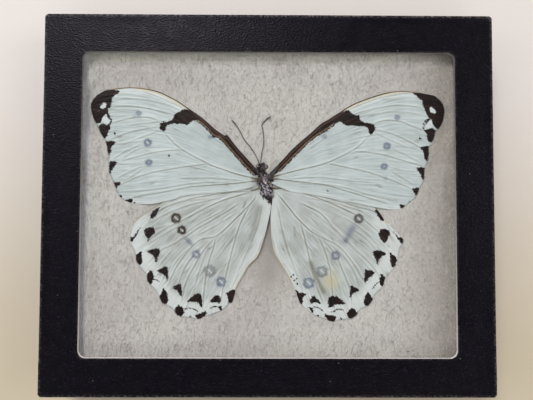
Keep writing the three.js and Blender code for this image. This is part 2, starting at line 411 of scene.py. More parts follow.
def makeLid(paper):
    # a hollow frame: outer wall, top fold, face, window edge, underside and inner wall as one closed profile
    low, high = boxOf("lid")
    half, top, bottom = high[:2], high[2], low[2]
    fold, thick, reach = card["foldRadius"], card["thickness"], half[0] - card["window"][0]
    steps = (210, 176, 9)
    outer = roundedRectangle(*half, card["cornerRadius"], *steps)
    window = roundedRectangle(*card["window"], card["windowRadius"], *steps)
    under, lip, hem = top - thick, card["lip"], card["hem"]
    profile = np.vstack([
        profileTurn((hem, bottom + hem), hem, -90, 0, 4),
        profileRun(((0.0, bottom + 2 * hem), (0.0, top - fold), 22)),
        profileTurn((fold, top - fold), fold, 0, 90, 9),
        profileRun(((fold + 0.3, top), (reach - lip, top), 26)),
        profileTurn((reach - lip, top - lip), lip, 90, 180, 6),
        profileRun(((reach, top - 0.5), (reach, under + 0.1), 4)),
        profileRun(((reach - 0.1, under), (thick + 0.4, under), 8)),
        profileRun(((thick, under - 0.4), (thick, bottom + hem), 8)),
        profileTurn((thick - hem, bottom + hem), hem, 180, 270, 4),
    ])
    points = carry(profile, outer, window, reach)
    outside = (profile[:, 0] < fold)[:, None] & (profile[:, 1] > bottom + 0.2)[:, None]
    dent = 0.02 + 0.018 * np.clip(lumps(points, 45.0, 3), -1, 1)
    give = np.where(outside, card["lap"] * (1 - wallLap(points, half, 0.16)) + dent, 0.0)
    points[..., :2] -= outwardOf(outer)[None] * give[..., None]
    face = smoothStep(fold, fold + 3, profile[:, 0])[:, None] * (profile[:, 1] > top - 0.1)[:, None]
    points[..., 2] -= face * (0.09 + 0.06 * np.clip(lumps(points[..., :2], 60.0, 4), -1, 1))
    count, around = points.shape[:2]
    faces = gridFaces(count, around, wrapRows=True, wrapColumns=True)
    cut = (profile[:, 0] >= reach - 0.12) & (profile[:, 1] < top - 0.12) & (profile[:, 1] > under - 0.01)
    isCut = np.repeat(cut, around)
    onFold = bell(profile[:, 0] - 0.3, 0.5) * (profile[:, 1] > top - 1.2)
    onFold += 0.5 * bell(profile[:, 0] - reach + 0.1, 0.25) * (profile[:, 1] > top - 0.4)
    # the paling of the folds is stronger along the top edge, as painted highlight where the light falls on it
    rubbingAndTopHighlight = 0.8 + 0.7 * smoothStep(half[1] - 4, half[1] - 1, points[..., 1])
    fields = {
        "fold": (onFold[:, None] * rubbingAndTopHighlight).ravel(),
        # painted light share of the cut edge: 1 along the bottom edge that faces the light, 0 along the top
        # edge painted in shade
        "bare": np.clip(0.5 - points[..., 1] / card["window"][1] * 0.5, 0, 1).ravel() ** 2,
    }
    scuff = curveThrough(card["scuff"], 30)
    scuff = np.column_stack([scuff, np.full(len(scuff), top - 0.2)])
    mark = sweep(scuff[None], (0.16 * np.sin(np.linspace(0.25, 2.9, len(scuff))))[None], 6)
    # the cut edge shares the lid's own points, so its faces point back at them
    edge = (np.zeros((0, 3)), [faces[isCut] - points.shape[0] * points.shape[1]], 1)
    shapes = [(points.reshape(-1, 3), [faces[~isCut]], 0), edge, (*mark, 2)]
    lid = makePiece("card_lid", shapes, [paper, cutCardFinish(), scuffFinish()], fields)
    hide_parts("lid")


def makeTray(paper):
    # a shallow dish: underside with its glued sheet, outer wall, rim, inner wall and floor
    low, high = boxOf("tray")
    half, top, bottom = high[:2], high[2], low[2]
    thick, reach = card["thickness"], 60.0
    steps = (150, 124, 8)
    outer = roundedRectangle(*half, card["cornerRadius"], *steps)
    middle = roundedRectangle(half[0] - reach, half[1] - reach, 1.0, *steps)
    sheetEdge, sheetStep, lip = card["glueLine"], card["glueStep"], 0.5
    profile = np.vstack([
        profileRun(((reach, bottom), (sheetEdge + 0.1, bottom), 26)),
        profileRun(((sheetEdge, bottom + sheetStep), (lip + 0.3, bottom + sheetStep), 10)),
        profileTurn((lip, bottom + sheetStep + lip), lip, -90, 0, 6),
        profileRun(((0.0, bottom + 2 * lip), (0.0, top - lip), 22)),
        profileTurn((lip, top - lip), lip, 0, 90, 6),
        profileTurn((thick - 0.4, top - 0.4), 0.4, 90, 180, 5),
        profileRun(((thick, top - 0.6), (thick, bottom + thick + 0.4), 14)),
        profileRun(((thick + 0.4, bottom + thick), (reach + 0.001, bottom + thick), 14)),
    ])
    points = carry(profile, outer, middle, reach)
    outside = (profile[:, 0] < lip)[:, None] & (profile[:, 1] < top - 0.3)[:, None]
    give = np.where(outside, card["lap"] * (1 - wallLap(points, half, -0.16)), 0.0)
    points[..., :2] -= outwardOf(outer)[None] * give[..., None]
    rise = (profile[:, 0] > sheetEdge)[:, None] & (profile[:, 1] < bottom + 0.1)[:, None]
    points[..., 2] += np.where(rise, 0.03 + 0.03 * np.clip(lumps(points[..., :2], 35.0, 5), -1, 1), 0.0)
    onFold = bell(profile[:, 0], 0.6) * ((profile[:, 1] < bottom + 1.2) | (profile[:, 1] > top - 1.2))
    onFold += 0.6 * bell(profile[:, 0] - sheetEdge, 0.3) * (profile[:, 1] < bottom + 1)
    fields = {"fold": np.repeat(onFold, points.shape[1])}
    tray = makePiece("card_tray", [(*closeRings(points), 0)], [paper], fields)
    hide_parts("tray")


def glazeGlass():
    # clear float glass with faint smears that only dull its gloss
    pane = Finish("clear glass")
    smear = pane.streaks((40, 120, 40), pane.place)
    pane.shade(Base_Color=(0.985, 1.0, 0.992, 1.0), Transmission_Weight=1.0, IOR=1.5)
    pane.shade(Roughness=pane.span(smear, 0.5, 0.8, (0.0, 0.03)))
    # lamps reach the wings straight through the pane, and so does the light that the wings scatter
    ray = pane.node("LightPath").outputs
    openAir = pane.node("BsdfTransparent").outputs[0]
    seen = pane.node("MixShader", _0=ray["Is Diffuse Ray"], _1=pane.shader.outputs[0], _2=openAir).outputs[0]
    seen = pane.node("MixShader", _0=ray["Is Shadow Ray"], _1=seen, _2=openAir).outputs[0]
    pane.feed(pane.output, {"Surface": seen})
    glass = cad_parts["glass"]
    glass.data.materials.clear()
    glass.data.materials.append(pane.material)


# Outlines run from the root outwards: front edge, outer margin and hind edge, as on this one specimen.
# A mark is an outline of dark scales, a pale one lies inside a mark, and a dot or stain is (x, y, radius).
# A ring is (x, y, radius, blue, brown). A thread, vein or crease is a line, and a smudge or haze is a line
# with its width and its share.
wings = {
    "forewing_left": {
        "front": [(-3.4, 11.4), (-10.8, 19.4), (-15.2, 24.9), (-15.6, 24.3), (-19.4, 26.8), (-22.4, 29.5),
                  (-25.2, 31.7), (-29.5, 34.5), (-32.2, 36.4), (-34.9, 38.0), (-40.2, 40.4), (-45.6, 41.6),
                  (-50.9, 41.9), (-56.2, 41.4), (-59.4, 40.8), (-61.9, 39.4)],
        "margin": [(-61.9, 39.4), (-63.5, 37.6), (-64.2, 35.3), (-63.8, 32.7), (-62.9, 30.2), (-62.1, 28.8),
                   (-61.0, 26.2), (-59.2, 23.3), (-58.8, 22.4), (-57.5, 17.3), (-57.5, 14.7), (-57.1, 10.8),
                   (-56.0, 8.7), (-54.8, 4.9), (-53.4, 2.6), (-51.3, 0.9), (-49.0, 0.0)],
        "hind": [(-4.5, 6.9), (-7.4, 5.6), (-13.5, 4.4), (-30.1, 2.8), (-34.0, 1.5), (-41.2, -0.1),
                 (-45.4, -0.3), (-49.0, 0.0)],
        "marks": [
            [(-54.4, 40.9), (-59.2, 41.2), (-62.1, 39.9), (-63.9, 37.9), (-64.6, 35.4), (-64.2, 32.8),
             (-63.2, 30.3), (-62.3, 28.9), (-60.6, 29.5), (-60.2, 30.7), (-59.6, 31.8), (-58.8, 32.2),
             (-57.3, 30.1), (-58.2, 33.3), (-58.0, 34.6), (-57.2, 34.7), (-57.0, 36.4), (-56.4, 38.6),
             (-54.5, 40.0)],
            [(-61.5, 28.0), (-59.8, 28.7), (-57.3, 28.0), (-58.3, 24.9), (-59.3, 23.4), (-60.6, 25.1)],
            [(-58.9, 22.3), (-56.4, 22.3), (-55.3, 21.7), (-56.8, 20.4), (-57.0, 18.7), (-57.8, 17.2),
             (-58.5, 19.0)],
            [(-57.4, 14.9), (-55.6, 15.1), (-54.8, 14.3), (-55.9, 13.0), (-57.1, 10.8), (-57.6, 11.3)],
            [(-55.9, 7.6), (-53.3, 7.2), (-54.5, 6.0), (-54.8, 5.0)],
            [(-51.6, 1.0), (-49.1, 1.4), (-49.6, 0.2)],
            [(-28.0, 33.6), (-30.6, 34.0), (-32.4, 33.1), (-34.0, 32.1), (-34.7, 30.3), (-36.9, 29.4),
             (-38.5, 29.3), (-39.4, 28.1), (-39.0, 26.7), (-37.9, 26.1), (-37.3, 26.8), (-36.9, 28.1),
             (-35.3, 28.8), (-31.3, 28.8), (-29.4, 28.5), (-27.4, 30.1), (-25.7, 29.9), (-22.8, 27.6),
             (-21.1, 25.9), (-19.8, 24.5), (-17.7, 23.8), (-14.0, 19.8), (-6.0, 11.1), (-4.2, 11.5),
             (-10.8, 19.4), (-15.7, 24.4), (-19.5, 26.9), (-22.4, 29.6), (-26.1, 32.4)],
        ],
        "pale": [
            [(-61.2, 34.9), (-59.7, 36.4), (-58.7, 35.8), (-59.1, 34.5), (-59.9, 33.9)],
            [(-60.4, 29.9), (-59.4, 31.4), (-57.9, 30.1), (-57.9, 28.4), (-59.0, 28.4)],
        ],
        "threads": [
            [(-57.9, 32.0), (-57.1, 30.6), (-57.0, 29.0), (-57.9, 28.0)],
        ],
        "dots": [(-53.2, 2.4, 0.3), (-19.9, 24.3, 0.55), (-48.4, 0.2, 0.25), (-35.9, 17.3, 0.28),
                 (-55.7, 25.2, 0.22)],
        "strip": [(-25.7, 29.9), (-22.8, 27.6), (-19.8, 24.5), (-17.7, 23.8), (-14.0, 19.8), (-8.2, 13.3),
                  (-5.3, 10.4)],
        "rings": [(-47.1, 32.5, 0.7, 0.8, 0), (-43.7, 21.9, 1.1, 1, 0), (-43.2, 14.7, 0.95, 1, 0),
                  (-48.5, 31.6, 0.3, 0.4, 0), (-21.2, 24.0, 0.45, 0.7, 0)],
        "veins": [
            [(-4.9, 9.1), (-11.3, 10.6), (-16.1, 12.2), (-21.8, 14.3), (-30.9, 19.2), (-34.1, 21.7),
             (-37.5, 25.3)],
            [(-30.9, 19.2), (-35.8, 19.1), (-40.9, 18.4), (-45.6, 17.3), (-53.8, 14.9)],
            [(-21.8, 14.3), (-28.0, 13.5), (-35.3, 12.4), (-42.5, 10.9), (-48.8, 8.7), (-54.7, 5.9)],
            [(-4.5, 8.2), (-10.9, 7.4), (-19.4, 6.7), (-27.9, 6.0), (-36.4, 4.3), (-44.1, 3.0), (-50.7, 1.5)],
            [(-30.3, 34.2), (-36.8, 37.2), (-42.8, 39.7), (-46.7, 40.8)],
            [(-39.3, 29.4), (-42.7, 30.9), (-46.6, 31.1), (-50.4, 30.6), (-57.6, 28.7)],
            [(-34.2, 32.0), (-42.8, 34.1), (-49.6, 35.0), (-57.0, 35.0)],
            [(-39.7, 27.6), (-45.2, 26.7), (-50.4, 25.5), (-58.2, 22.5)],
        ],
        "creases": [
            [(-45.4, 22.5), (-51.0, 21.6), (-56.6, 20.9)], [(-45.2, 21.4), (-51.0, 19.0), (-56.5, 15.6)],
            [(-44.6, 20.6), (-49.2, 18.4), (-53.5, 15.4)], [(-45.0, 14.6), (-50.0, 14.2), (-55.6, 14.1)],
            [(-44.8, 13.6), (-50.6, 11.0), (-55.4, 8.3)], [(-44.6, 12.9), (-49.0, 9.8), (-53.2, 7.4)],
            [(-31.0, 33.2), (-38.0, 36.0), (-46.0, 37.6), (-55.0, 37.8)],
            [(-8.0, 8.2), (-20.0, 9.2), (-33.0, 8.9)],
            [(-12.0, 7.9), (-26.0, 7.4), (-40.0, 5.2), (-49.0, 4.2)],
            [(-39.0, 26.4), (-46.0, 23.8), (-54.0, 20.6)], [(-36.0, 30.0), (-44.0, 29.0), (-52.0, 28.0)],
        ],
    },
    "forewing_right": {
        "front": [(0.4, 11.0), (5.2, 15.8), (8.5, 19.5), (12.0, 22.7), (15.5, 25.7), (19.0, 29.0),
                  (21.8, 30.6), (26.0, 33.2), (30.6, 36.0), (36.8, 38.5), (43.6, 40.5), (48.6, 41.0),
                  (53.5, 40.6), (55.9, 40.3), (60.1, 39.6)],
        "margin": [(60.1, 39.6), (62.4, 37.5), (63.5, 35.2), (63.6, 32.7), (62.8, 29.5), (61.4, 27.4),
                   (60.5, 26.6), (59.3, 22.2), (58.0, 21.0), (57.6, 16.1), (56.4, 13.1), (56.0, 8.9),
                   (54.4, 5.7), (53.2, 2.9), (50.9, 0.8), (49.0, -0.8), (47.4, -1.8)],
        "hind": [(1.2, 7.3), (7.9, 4.5), (15.3, 3.4), (21.8, 2.1), (28.7, 0.7), (39.3, -1.3), (40.9, -1.6),
                 (44.4, -2.0), (47.4, -1.8)],
        "marks": [
            [(52.7, 40.3), (56.3, 40.6), (60.3, 39.9), (62.9, 37.7), (63.8, 35.3), (63.9, 32.8),
             (63.2, 29.6), (61.7, 27.3), (60.0, 28.5), (59.4, 30.0), (58.8, 30.9), (57.7, 30.0),
             (56.6, 28.5), (57.3, 30.2), (58.3, 31.1), (57.7, 32.3), (56.9, 34.0), (56.1, 35.7),
             (55.9, 37.4), (54.1, 39.1)],
            [(56.6, 26.6), (59.1, 27.5), (60.8, 26.6), (60.0, 24.3), (58.9, 22.2), (57.6, 23.7),
             (57.3, 25.4)],
            [(54.8, 20.4), (58.2, 20.9), (57.9, 16.4), (57.1, 15.9), (56.2, 17.8), (55.9, 19.4)],
            [(53.5, 13.0), (56.4, 13.1), (56.4, 9.4), (55.8, 9.1), (55.0, 10.8)],
            [(51.8, 5.6), (54.7, 5.7), (53.6, 3.1), (52.7, 4.3)], [(47.3, 0.1), (49.3, -0.8), (48.0, -1.6)],
            [(23.8, 32.0), (27.9, 33.8), (29.5, 33.6), (30.5, 32.4), (32.9, 31.8), (33.2, 30.3),
             (34.9, 29.4), (37.4, 28.9), (38.6, 27.6), (38.0, 26.3), (37.1, 25.2), (36.5, 25.7),
             (36.3, 27.0), (35.3, 28.0), (30.7, 28.5), (27.9, 28.5), (26.0, 29.8), (23.7, 28.9),
             (20.7, 26.7), (19.7, 25.6), (17.7, 24.9), (14.4, 22.3), (11.6, 19.6), (3.9, 11.8), (0.9, 10.8),
             (5.2, 15.9), (8.5, 19.6), (12.1, 22.8), (15.6, 25.8), (19.0, 29.1), (21.8, 30.7)],
        ],
        "pale": [
            [(58.4, 35.3), (59.4, 35.3), (60.8, 33.4), (59.4, 32.8), (58.6, 33.6)],
            [(57.7, 29.6), (58.8, 30.4), (59.5, 29.2), (58.7, 27.5), (57.5, 27.3), (57.2, 28.5)],
        ],
        "threads": [
            [(58.2, 31.0), (56.9, 30.3), (56.1, 29.0), (56.2, 27.4)],
        ],
        "dots": [(51.2, 0.7, 0.25), (54.8, 23.8, 0.28), (21.4, 4.8, 0.28)],
        "strip": [(23.7, 28.9), (20.7, 26.7), (17.7, 24.9), (14.4, 22.3), (11.6, 19.6), (7.6, 15.6),
                  (3.9, 11.8)],
        "rings": [(46.6, 31.4, 0.7, 0.8, 0), (42.8, 21.0, 1.0, 1, 0), (41.8, 13.6, 0.95, 1, 0),
                  (42.2, 9.4, 0.4, 0.4, 0), (20.2, 24.3, 0.5, 0.7, 0)],
        "veins": [
            [(2.5, 10.0), (11.4, 12.3), (20.7, 14.7), (29.9, 19.1), (33.2, 21.4), (36.2, 24.7)],
            [(29.9, 19.1), (35.4, 18.7), (41.1, 17.9), (47.7, 16.0), (56.5, 13.5)],
            [(20.7, 14.7), (25.2, 13.8), (29.9, 12.8), (35.4, 11.6), (44.1, 8.7), (52.7, 5.1)],
            [(2.3, 9.0), (11.4, 7.9), (20.5, 6.8), (29.5, 4.3), (37.5, 1.8), (44.7, -0.3)],
            [(28.5, 33.9), (35.1, 36.7), (42.4, 39.1), (48.6, 40.2), (53.4, 40.1)],
            [(37.6, 29.1), (42.4, 30.3), (47.8, 29.9), (52.2, 28.1), (56.6, 26.7)],
            [(30.3, 32.4), (37.6, 34.3), (46.1, 35.8), (55.9, 35.1)],
            [(38.3, 27.0), (44.2, 25.5), (49.6, 23.3), (56.1, 19.7)],
        ],
        "creases": [
            [(44.4, 21.4), (50.0, 20.6), (55.4, 19.4)], [(44.2, 20.2), (49.6, 17.8), (55.6, 14.6)],
            [(43.4, 13.2), (49.0, 12.0), (54.6, 11.6)], [(43.2, 12.4), (48.4, 9.4), (53.0, 6.6)],
            [(31.0, 31.2), (40.0, 33.0), (48.0, 33.4), (56.0, 32.4)],
            [(6.0, 8.9), (18.0, 9.6), (32.0, 8.0)], [(10.0, 7.4), (24.0, 6.6), (36.0, 3.4), (46.0, 1.2)],
            [(37.4, 26.2), (44.0, 23.2), (51.0, 20.2)],
        ],
    },
    "hindwing_left": {
        "front": [(-3.3, 8.0), (-14.0, 8.6), (-26.0, 6.6), (-35.0, 2.8), (-39.3, -0.5), (-42.0, -2.2),
                  (-45.3, -4.5), (-48.2, -7.0)],
        "margin": [(-48.2, -7.0), (-49.3, -10.3), (-49.7, -12.3), (-49.5, -14.4), (-48.4, -16.3),
                   (-47.6, -18.5), (-47.4, -20.4), (-46.4, -22.2), (-45.3, -23.6), (-43.6, -25.7),
                   (-43.4, -27.7), (-42.3, -29.1), (-40.4, -30.9), (-39.0, -33.2), (-38.3, -35.2),
                   (-37.1, -36.0), (-34.8, -37.1), (-33.5, -38.6), (-31.8, -40.3), (-27.5, -40.8),
                   (-25.2, -41.3), (-22.7, -40.4), (-20.2, -39.6), (-18.1, -38.7), (-16.8, -38.3),
                   (-14.1, -35.7), (-12.8, -35.3)],
        "hind": [(-1.5, 3.0), (0.6, 0.2), (1.0, -1.0), (0.8, -2.2), (-0.1, -6.6), (-1.5, -12.1),
                 (-3.3, -17.6), (-4.7, -19.9), (-7.0, -22.1), (-8.6, -24.9), (-11.0, -29.2), (-11.9, -31.8),
                 (-12.8, -35.3)],
        "marks": [
            [(-39.4, -1.5), (-41.5, -2.8), (-42.3, -4.3), (-42.3, -5.3), (-41.3, -5.1), (-40.0, -3.4)],
            [(-44.7, -9.6), (-43.3, -8.8), (-41.6, -8.8), (-40.9, -10.5), (-42.2, -11.9), (-43.2, -13.6),
             (-43.5, -12.6), (-44.3, -11.3)],
            [(-50.0, -12.4), (-48.4, -11.9), (-46.8, -9.9), (-47.6, -11.6), (-48.6, -12.8), (-49.4, -14.0)],
            [(-43.6, -17.3), (-40.7, -16.3), (-39.0, -16.9), (-39.8, -19.4), (-40.4, -21.4), (-41.1, -19.0)],
            [(-45.7, -17.3), (-46.5, -17.9), (-47.6, -19.0), (-47.6, -20.2), (-46.7, -22.1), (-45.6, -21.6),
             (-45.5, -19.8)],
            [(-39.8, -24.2), (-36.4, -22.9), (-36.2, -27.6), (-37.0, -26.0)],
            [(-42.4, -24.1), (-41.6, -24.8), (-41.2, -26.9), (-42.4, -29.0), (-43.7, -26.9), (-43.3, -25.5)],
            [(-34.3, -30.4), (-31.6, -29.0), (-31.0, -33.1), (-32.6, -31.3)],
            [(-37.5, -30.5), (-36.3, -32.4), (-36.0, -35.1), (-37.2, -36.1), (-38.8, -34.2), (-38.4, -32.4)],
            [(-29.0, -35.2), (-25.8, -32.4), (-24.0, -33.2), (-23.6, -36.9), (-24.1, -36.9), (-25.3, -35.3),
             (-26.9, -35.1)],
            [(-32.0, -36.4), (-30.3, -38.0), (-30.3, -39.8), (-31.9, -40.5), (-33.4, -39.2), (-33.3, -37.6)],
            [(-21.0, -35.3), (-18.7, -32.9), (-17.2, -33.8), (-17.3, -35.4)],
            [(-26.0, -40.1), (-24.6, -39.6), (-22.5, -38.7), (-22.3, -39.6), (-23.4, -41.1), (-25.3, -41.5)],
            [(-18.0, -37.2), (-16.8, -36.9), (-16.7, -38.4)],
            [(-15.3, -32.3), (-11.9, -31.1), (-12.9, -35.4), (-14.1, -35.9), (-14.4, -33.5)],
        ],
        "pale": [],
        "dots": [(-28.0, -40.6, 0.3)],
        "threads": [
            [(-41.2, -27.1), (-39.2, -28.0)], [(-30.1, -37.9), (-27.6, -37.5), (-25.2, -38.6)],
            [(-20.4, -37.4), (-18.8, -36.9), (-17.6, -37.2)],
            [(-48.2, -11.6), (-46.9, -9.9), (-46.1, -8.9)],
        ],
        "hazes": [([(-29.8, -12.6), (-27.6, -14.8)], 0.7, 0.7)],
        "rings": [(-33.3, -5.3, 1.5, 0, 1.25), (-31.2, -9.6, 1.25, 0, 1.25), (-28.7, -13.7, 0.5, 0.7, 0.2),
                  (-26.0, -18.3, 1.2, 0.9, 0), (-21.0, -24.3, 1.8, 0.4, 0.35), (-16.9, -28.1, 1.5, 1, 0)],
        "veins": [
            [(-6.7, 4.6), (-15.8, 3.8), (-26.6, 2.0), (-34.9, -0.6), (-40.0, -3.1), (-44.6, -8.2)],
            [(-4.5, 3.9), (-5.3, 1.3), (-12.1, -5.7), (-18.8, -11.7), (-25.2, -13.4), (-31.9, -21.1),
             (-36.1, -29.4)],
            [(-6.7, 4.2), (-18.1, 0.5), (-29.1, -5.1), (-39.2, -10.4), (-45.6, -15.4)],
            [(-10.3, 0.2), (-17.2, -4.2), (-25.2, -8.9), (-33.6, -14.4), (-38.7, -17.0), (-44.1, -22.6)],
            [(-18.8, -11.7), (-23.2, -16.8), (-26.4, -22.2), (-29.6, -28.7), (-31.3, -36.5)],
            [(-18.8, -11.7), (-20.0, -16.8), (-21.4, -21.1), (-22.8, -29.4), (-23.4, -39.0)],
            [(-6.7, -0.5), (-10.3, -7.7), (-12.8, -16.0), (-15.2, -25.8), (-17.3, -35.8)],
        ],
        "creases": [
            [(-16.0, 2.4), (-28.0, -0.4), (-37.6, -4.2), (-43.0, -8.0)],
            [(-20.0, 1.8), (-30.0, 1.0), (-38.0, -1.4)],
            [(-14.0, -1.4), (-24.0, -6.6), (-30.6, -11.6), (-36.0, -17.8)],
            [(-12.0, -3.6), (-20.0, -8.6), (-27.4, -12.2)],
            [(-26.4, -14.6), (-31.4, -19.0), (-35.4, -24.6)],
            [(-24.4, -15.4), (-29.6, -22.6), (-32.6, -30.0)],
            [(-22.0, -16.6), (-25.0, -25.0), (-27.0, -32.4)],
            [(-31.0, -7.6), (-38.0, -11.4), (-44.0, -15.4)],
            [(-2.3, -0.5), (-3.8, -7.7), (-6.6, -14.9), (-10.2, -23.2), (-13.4, -31.1)],
            [(-33.4, -15.6), (-37.4, -20.0), (-40.4, -24.4)], [(-34.0, -7.4), (-38.6, -8.6), (-42.6, -9.4)],
        ],
        "smudges": [([(-3.2, -1.5), (-4.4, -6.0), (-6.4, -13.0)], 1.1, 0.5),
                    ([(-8.4, 0.5), (-9.0, -1.4)], 0.35, 0.7), ([(-42.0, -9.0), (-36.0, -12.0)], 3.4, 0.24)],
    },
    "hindwing_right": {
        "front": [(1.6, 7.6), (12.0, 8.0), (24.0, 6.2), (33.0, 2.5), (38.9, -1.7), (41.4, -5.0),
                  (43.1, -7.1)],
        "margin": [(43.1, -7.1), (45.1, -10.2), (48.4, -12.3), (48.6, -13.9), (47.5, -15.4), (46.7, -18.7),
                   (46.1, -21.9), (42.3, -26.6), (41.2, -29.5), (38.2, -32.7), (37.3, -34.8), (35.7, -36.6),
                   (33.2, -37.6), (31.5, -40.0), (29.8, -41.0), (26.0, -41.4), (23.2, -42.1), (20.2, -41.1),
                   (17.2, -40.1), (15.8, -39.1), (12.8, -36.8), (11.4, -35.7)],
        "hind": [(1.5, 3.0), (1.3, 0.3), (0.8, -4.3), (1.1, -11.2), (1.8, -15.8), (3.0, -19.0),
                 (5.3, -22.6), (7.8, -27.0), (10.0, -31.9), (11.4, -35.7)],
        "marks": [
            [(38.6, -2.2), (39.7, -1.9), (40.8, -3.4), (41.9, -4.8), (41.3, -6.1), (40.1, -5.0)],
            [(39.8, -10.7), (40.9, -9.2), (43.2, -9.4), (43.9, -10.4), (43.2, -12.3), (41.9, -13.9),
             (40.4, -12.1)],
            [(45.5, -10.4), (47.1, -12.0), (48.5, -12.0), (48.9, -13.1), (48.5, -14.3), (47.6, -13.3),
             (46.8, -12.4)],
            [(37.7, -17.3), (39.6, -16.7), (42.3, -17.9), (40.6, -19.1), (39.8, -20.6), (39.4, -22.0),
             (38.6, -19.6)],
            [(44.0, -17.5), (45.0, -18.3), (46.3, -19.4), (46.3, -20.8), (45.0, -22.8), (44.1, -20.6)],
            [(35.0, -23.6), (38.4, -24.6), (36.3, -26.4), (34.8, -28.1)],
            [(40.5, -25.1), (42.4, -26.7), (42.1, -28.6), (41.3, -29.7), (40.2, -28.3)],
            [(29.8, -29.3), (32.6, -31.1), (30.8, -31.9), (29.3, -33.6)],
            [(35.8, -31.6), (36.9, -33.0), (37.5, -34.6), (35.8, -36.7), (34.6, -35.8), (34.7, -33.8)],
            [(21.8, -37.4), (21.8, -33.9), (24.4, -33.3), (27.5, -35.8), (24.4, -36.1)],
            [(29.9, -37.4), (31.6, -38.5), (31.7, -40.2), (29.9, -41.2), (28.4, -40.1), (28.8, -38.8)],
            [(14.9, -34.7), (16.4, -33.2), (18.9, -35.8), (17.0, -35.3), (15.6, -35.7)],
            [(20.0, -39.6), (22.2, -40.1), (24.1, -40.4), (23.9, -42.1), (21.7, -42.0)],
            [(14.5, -37.2), (15.9, -37.7), (15.9, -39.2)],
            [(10.0, -30.9), (11.4, -32.0), (13.5, -32.4), (12.3, -33.9), (12.4, -35.3), (11.9, -36.2),
             (10.6, -33.9)],
        ],
        "pale": [],
        "dots": [(17.9, -40.3, 0.3), (26.1, -41.4, 0.3), (8.2, -26.2, 0.2), (9.4, -27.6, 0.25),
                 (10.4, -28.8, 0.2), (9.0, -25.6, 0.16), (10.2, -27.0, 0.16)],
        "threads": [
            [(37.6, -30.4), (38.8, -28.9), (40.4, -27.8)], [(22.8, -38.9), (25.0, -37.7), (26.8, -38.0)],
            [(16.2, -37.0), (18.0, -37.2), (19.6, -38.4)],
        ],
        "rings": [(32.7, -5.3, 1.4, 0.3, 0.95), (28.0, -13.2, 0.4, 0.8, 0.3), (24.3, -18.6, 1.3, 0.9, 0.15),
                  (19.4, -24.3, 1.7, 0.5, 0.4), (14.6, -28.4, 1.7, 1, 0)],
        "veins": [
            [(2.7, 5.7), (11.5, 4.3), (22.4, 1.8), (32.5, -1.1), (39.8, -3.6), (45.6, -11.6)],
            [(2.0, 5.0), (6.0, 0.3), (10.6, -5.3), (14.4, -9.1), (18.9, -12.0), (25.2, -15.2),
             (30.3, -21.0), (35.3, -29.2)],
            [(4.2, 5.0), (13.3, 3.6), (24.2, -0.4), (34.0, -5.4), (41.2, -11.6), (44.8, -16.6)],
            [(11.5, 0.3), (18.7, -3.3), (23.4, -8.4), (30.3, -15.2), (37.5, -22.4), (41.1, -28.1)],
            [(18.9, -12.0), (24.1, -18.1), (27.0, -24.6), (29.5, -31.0), (30.2, -37.5)],
            [(18.0, -11.6), (20.5, -17.4), (22.3, -23.9), (23.0, -31.1), (23.7, -38.9)],
            [(11.5, -6.6), (13.3, -13.1), (15.1, -21.0), (17.3, -29.3), (20.1, -36.4)],
        ],
        "creases": [
            [(14.0, 2.2), (24.0, 0.4), (36.0, -3.4)], [(26.0, -4.0), (34.0, -9.4), (40.0, -15.4)],
            [(20.0, -5.6), (27.0, -12.6), (33.6, -19.0)], [(26.0, -17.0), (30.6, -24.0), (33.0, -30.0)],
            [(2.7, 1.4), (4.2, -5.9), (6.4, -14.9), (10.0, -24.6), (12.6, -31.8)],
            [(14.0, -8.0), (18.6, -11.0), (22.6, -14.0)], [(20.4, -19.6), (24.4, -26.6), (26.4, -33.0)],
            [(30.0, -8.8), (36.4, -13.6), (40.0, -19.0)],
        ],
        "hazes": [([(30.6, -8.6), (27.8, -13.2)], 1.2, 0.75)],
        "smudges": [([(15.3, -21.3), (17.2, -26.0), (19.9, -31.6)], 0.95, 0.9),
                    ([(9.4, -8.4), (9.6, -11.6)], 0.4, 0.5), ([(5.0, -10.0), (6.6, -15.0)], 0.9, 0.35),
                    ([(36.0, -8.0), (31.0, -12.0)], 3.2, 0.14), ([(22.6, -20.6), (24.6, -24.6)], 0.5, 0.35)],
        "stains": [(22.6, -27.7, 3.0)],
    },
}

membrane = {
    "across": 225,
    "down": 180,
    "thickness": 0.08,
    "forewingLevel": 14.5,
    "hindDrop": 0.45,  # how far a forewing's hind part settles towards the hindwing
    "hindwingLevel": 13.82,
    "edgeRest": 0.1,  # how close the outer edges come to the batting
    "pleats": 23,
    "pleatDepth": 0.055,
    "creaseDepth": 0.25,
    "creaseWidth": 0.3,
    "veinRadius": (0.16, 0.085),
    "scales": 520,
    "fringe": (0.28, 0.55),  # length of the scales along the margin
    "forewingTone": (tone(201, 212, 212), tone(190, 201, 201)),
    "hindwingTone": (tone(195, 202, 201), tone(178, 181, 178)),
    "outerTone": tone(228, 233, 232),
    "darkTone": (tone(15, 2, 2), tone(82, 56, 50)),
    "blueTone": tone(112, 121, 140),
    "brownTone": tone(58, 46, 34),
    "stripTone": tone(134, 104, 78),
    "bandTone": tone(96, 70, 54),
    "creamTone": tone(218, 211, 188),
    "smudgeTone": tone(112, 113, 96),
    "veinLineAndCreaseShadeTone": tone(118, 116, 104),
    "stainTone": tone(202, 196, 160),
}


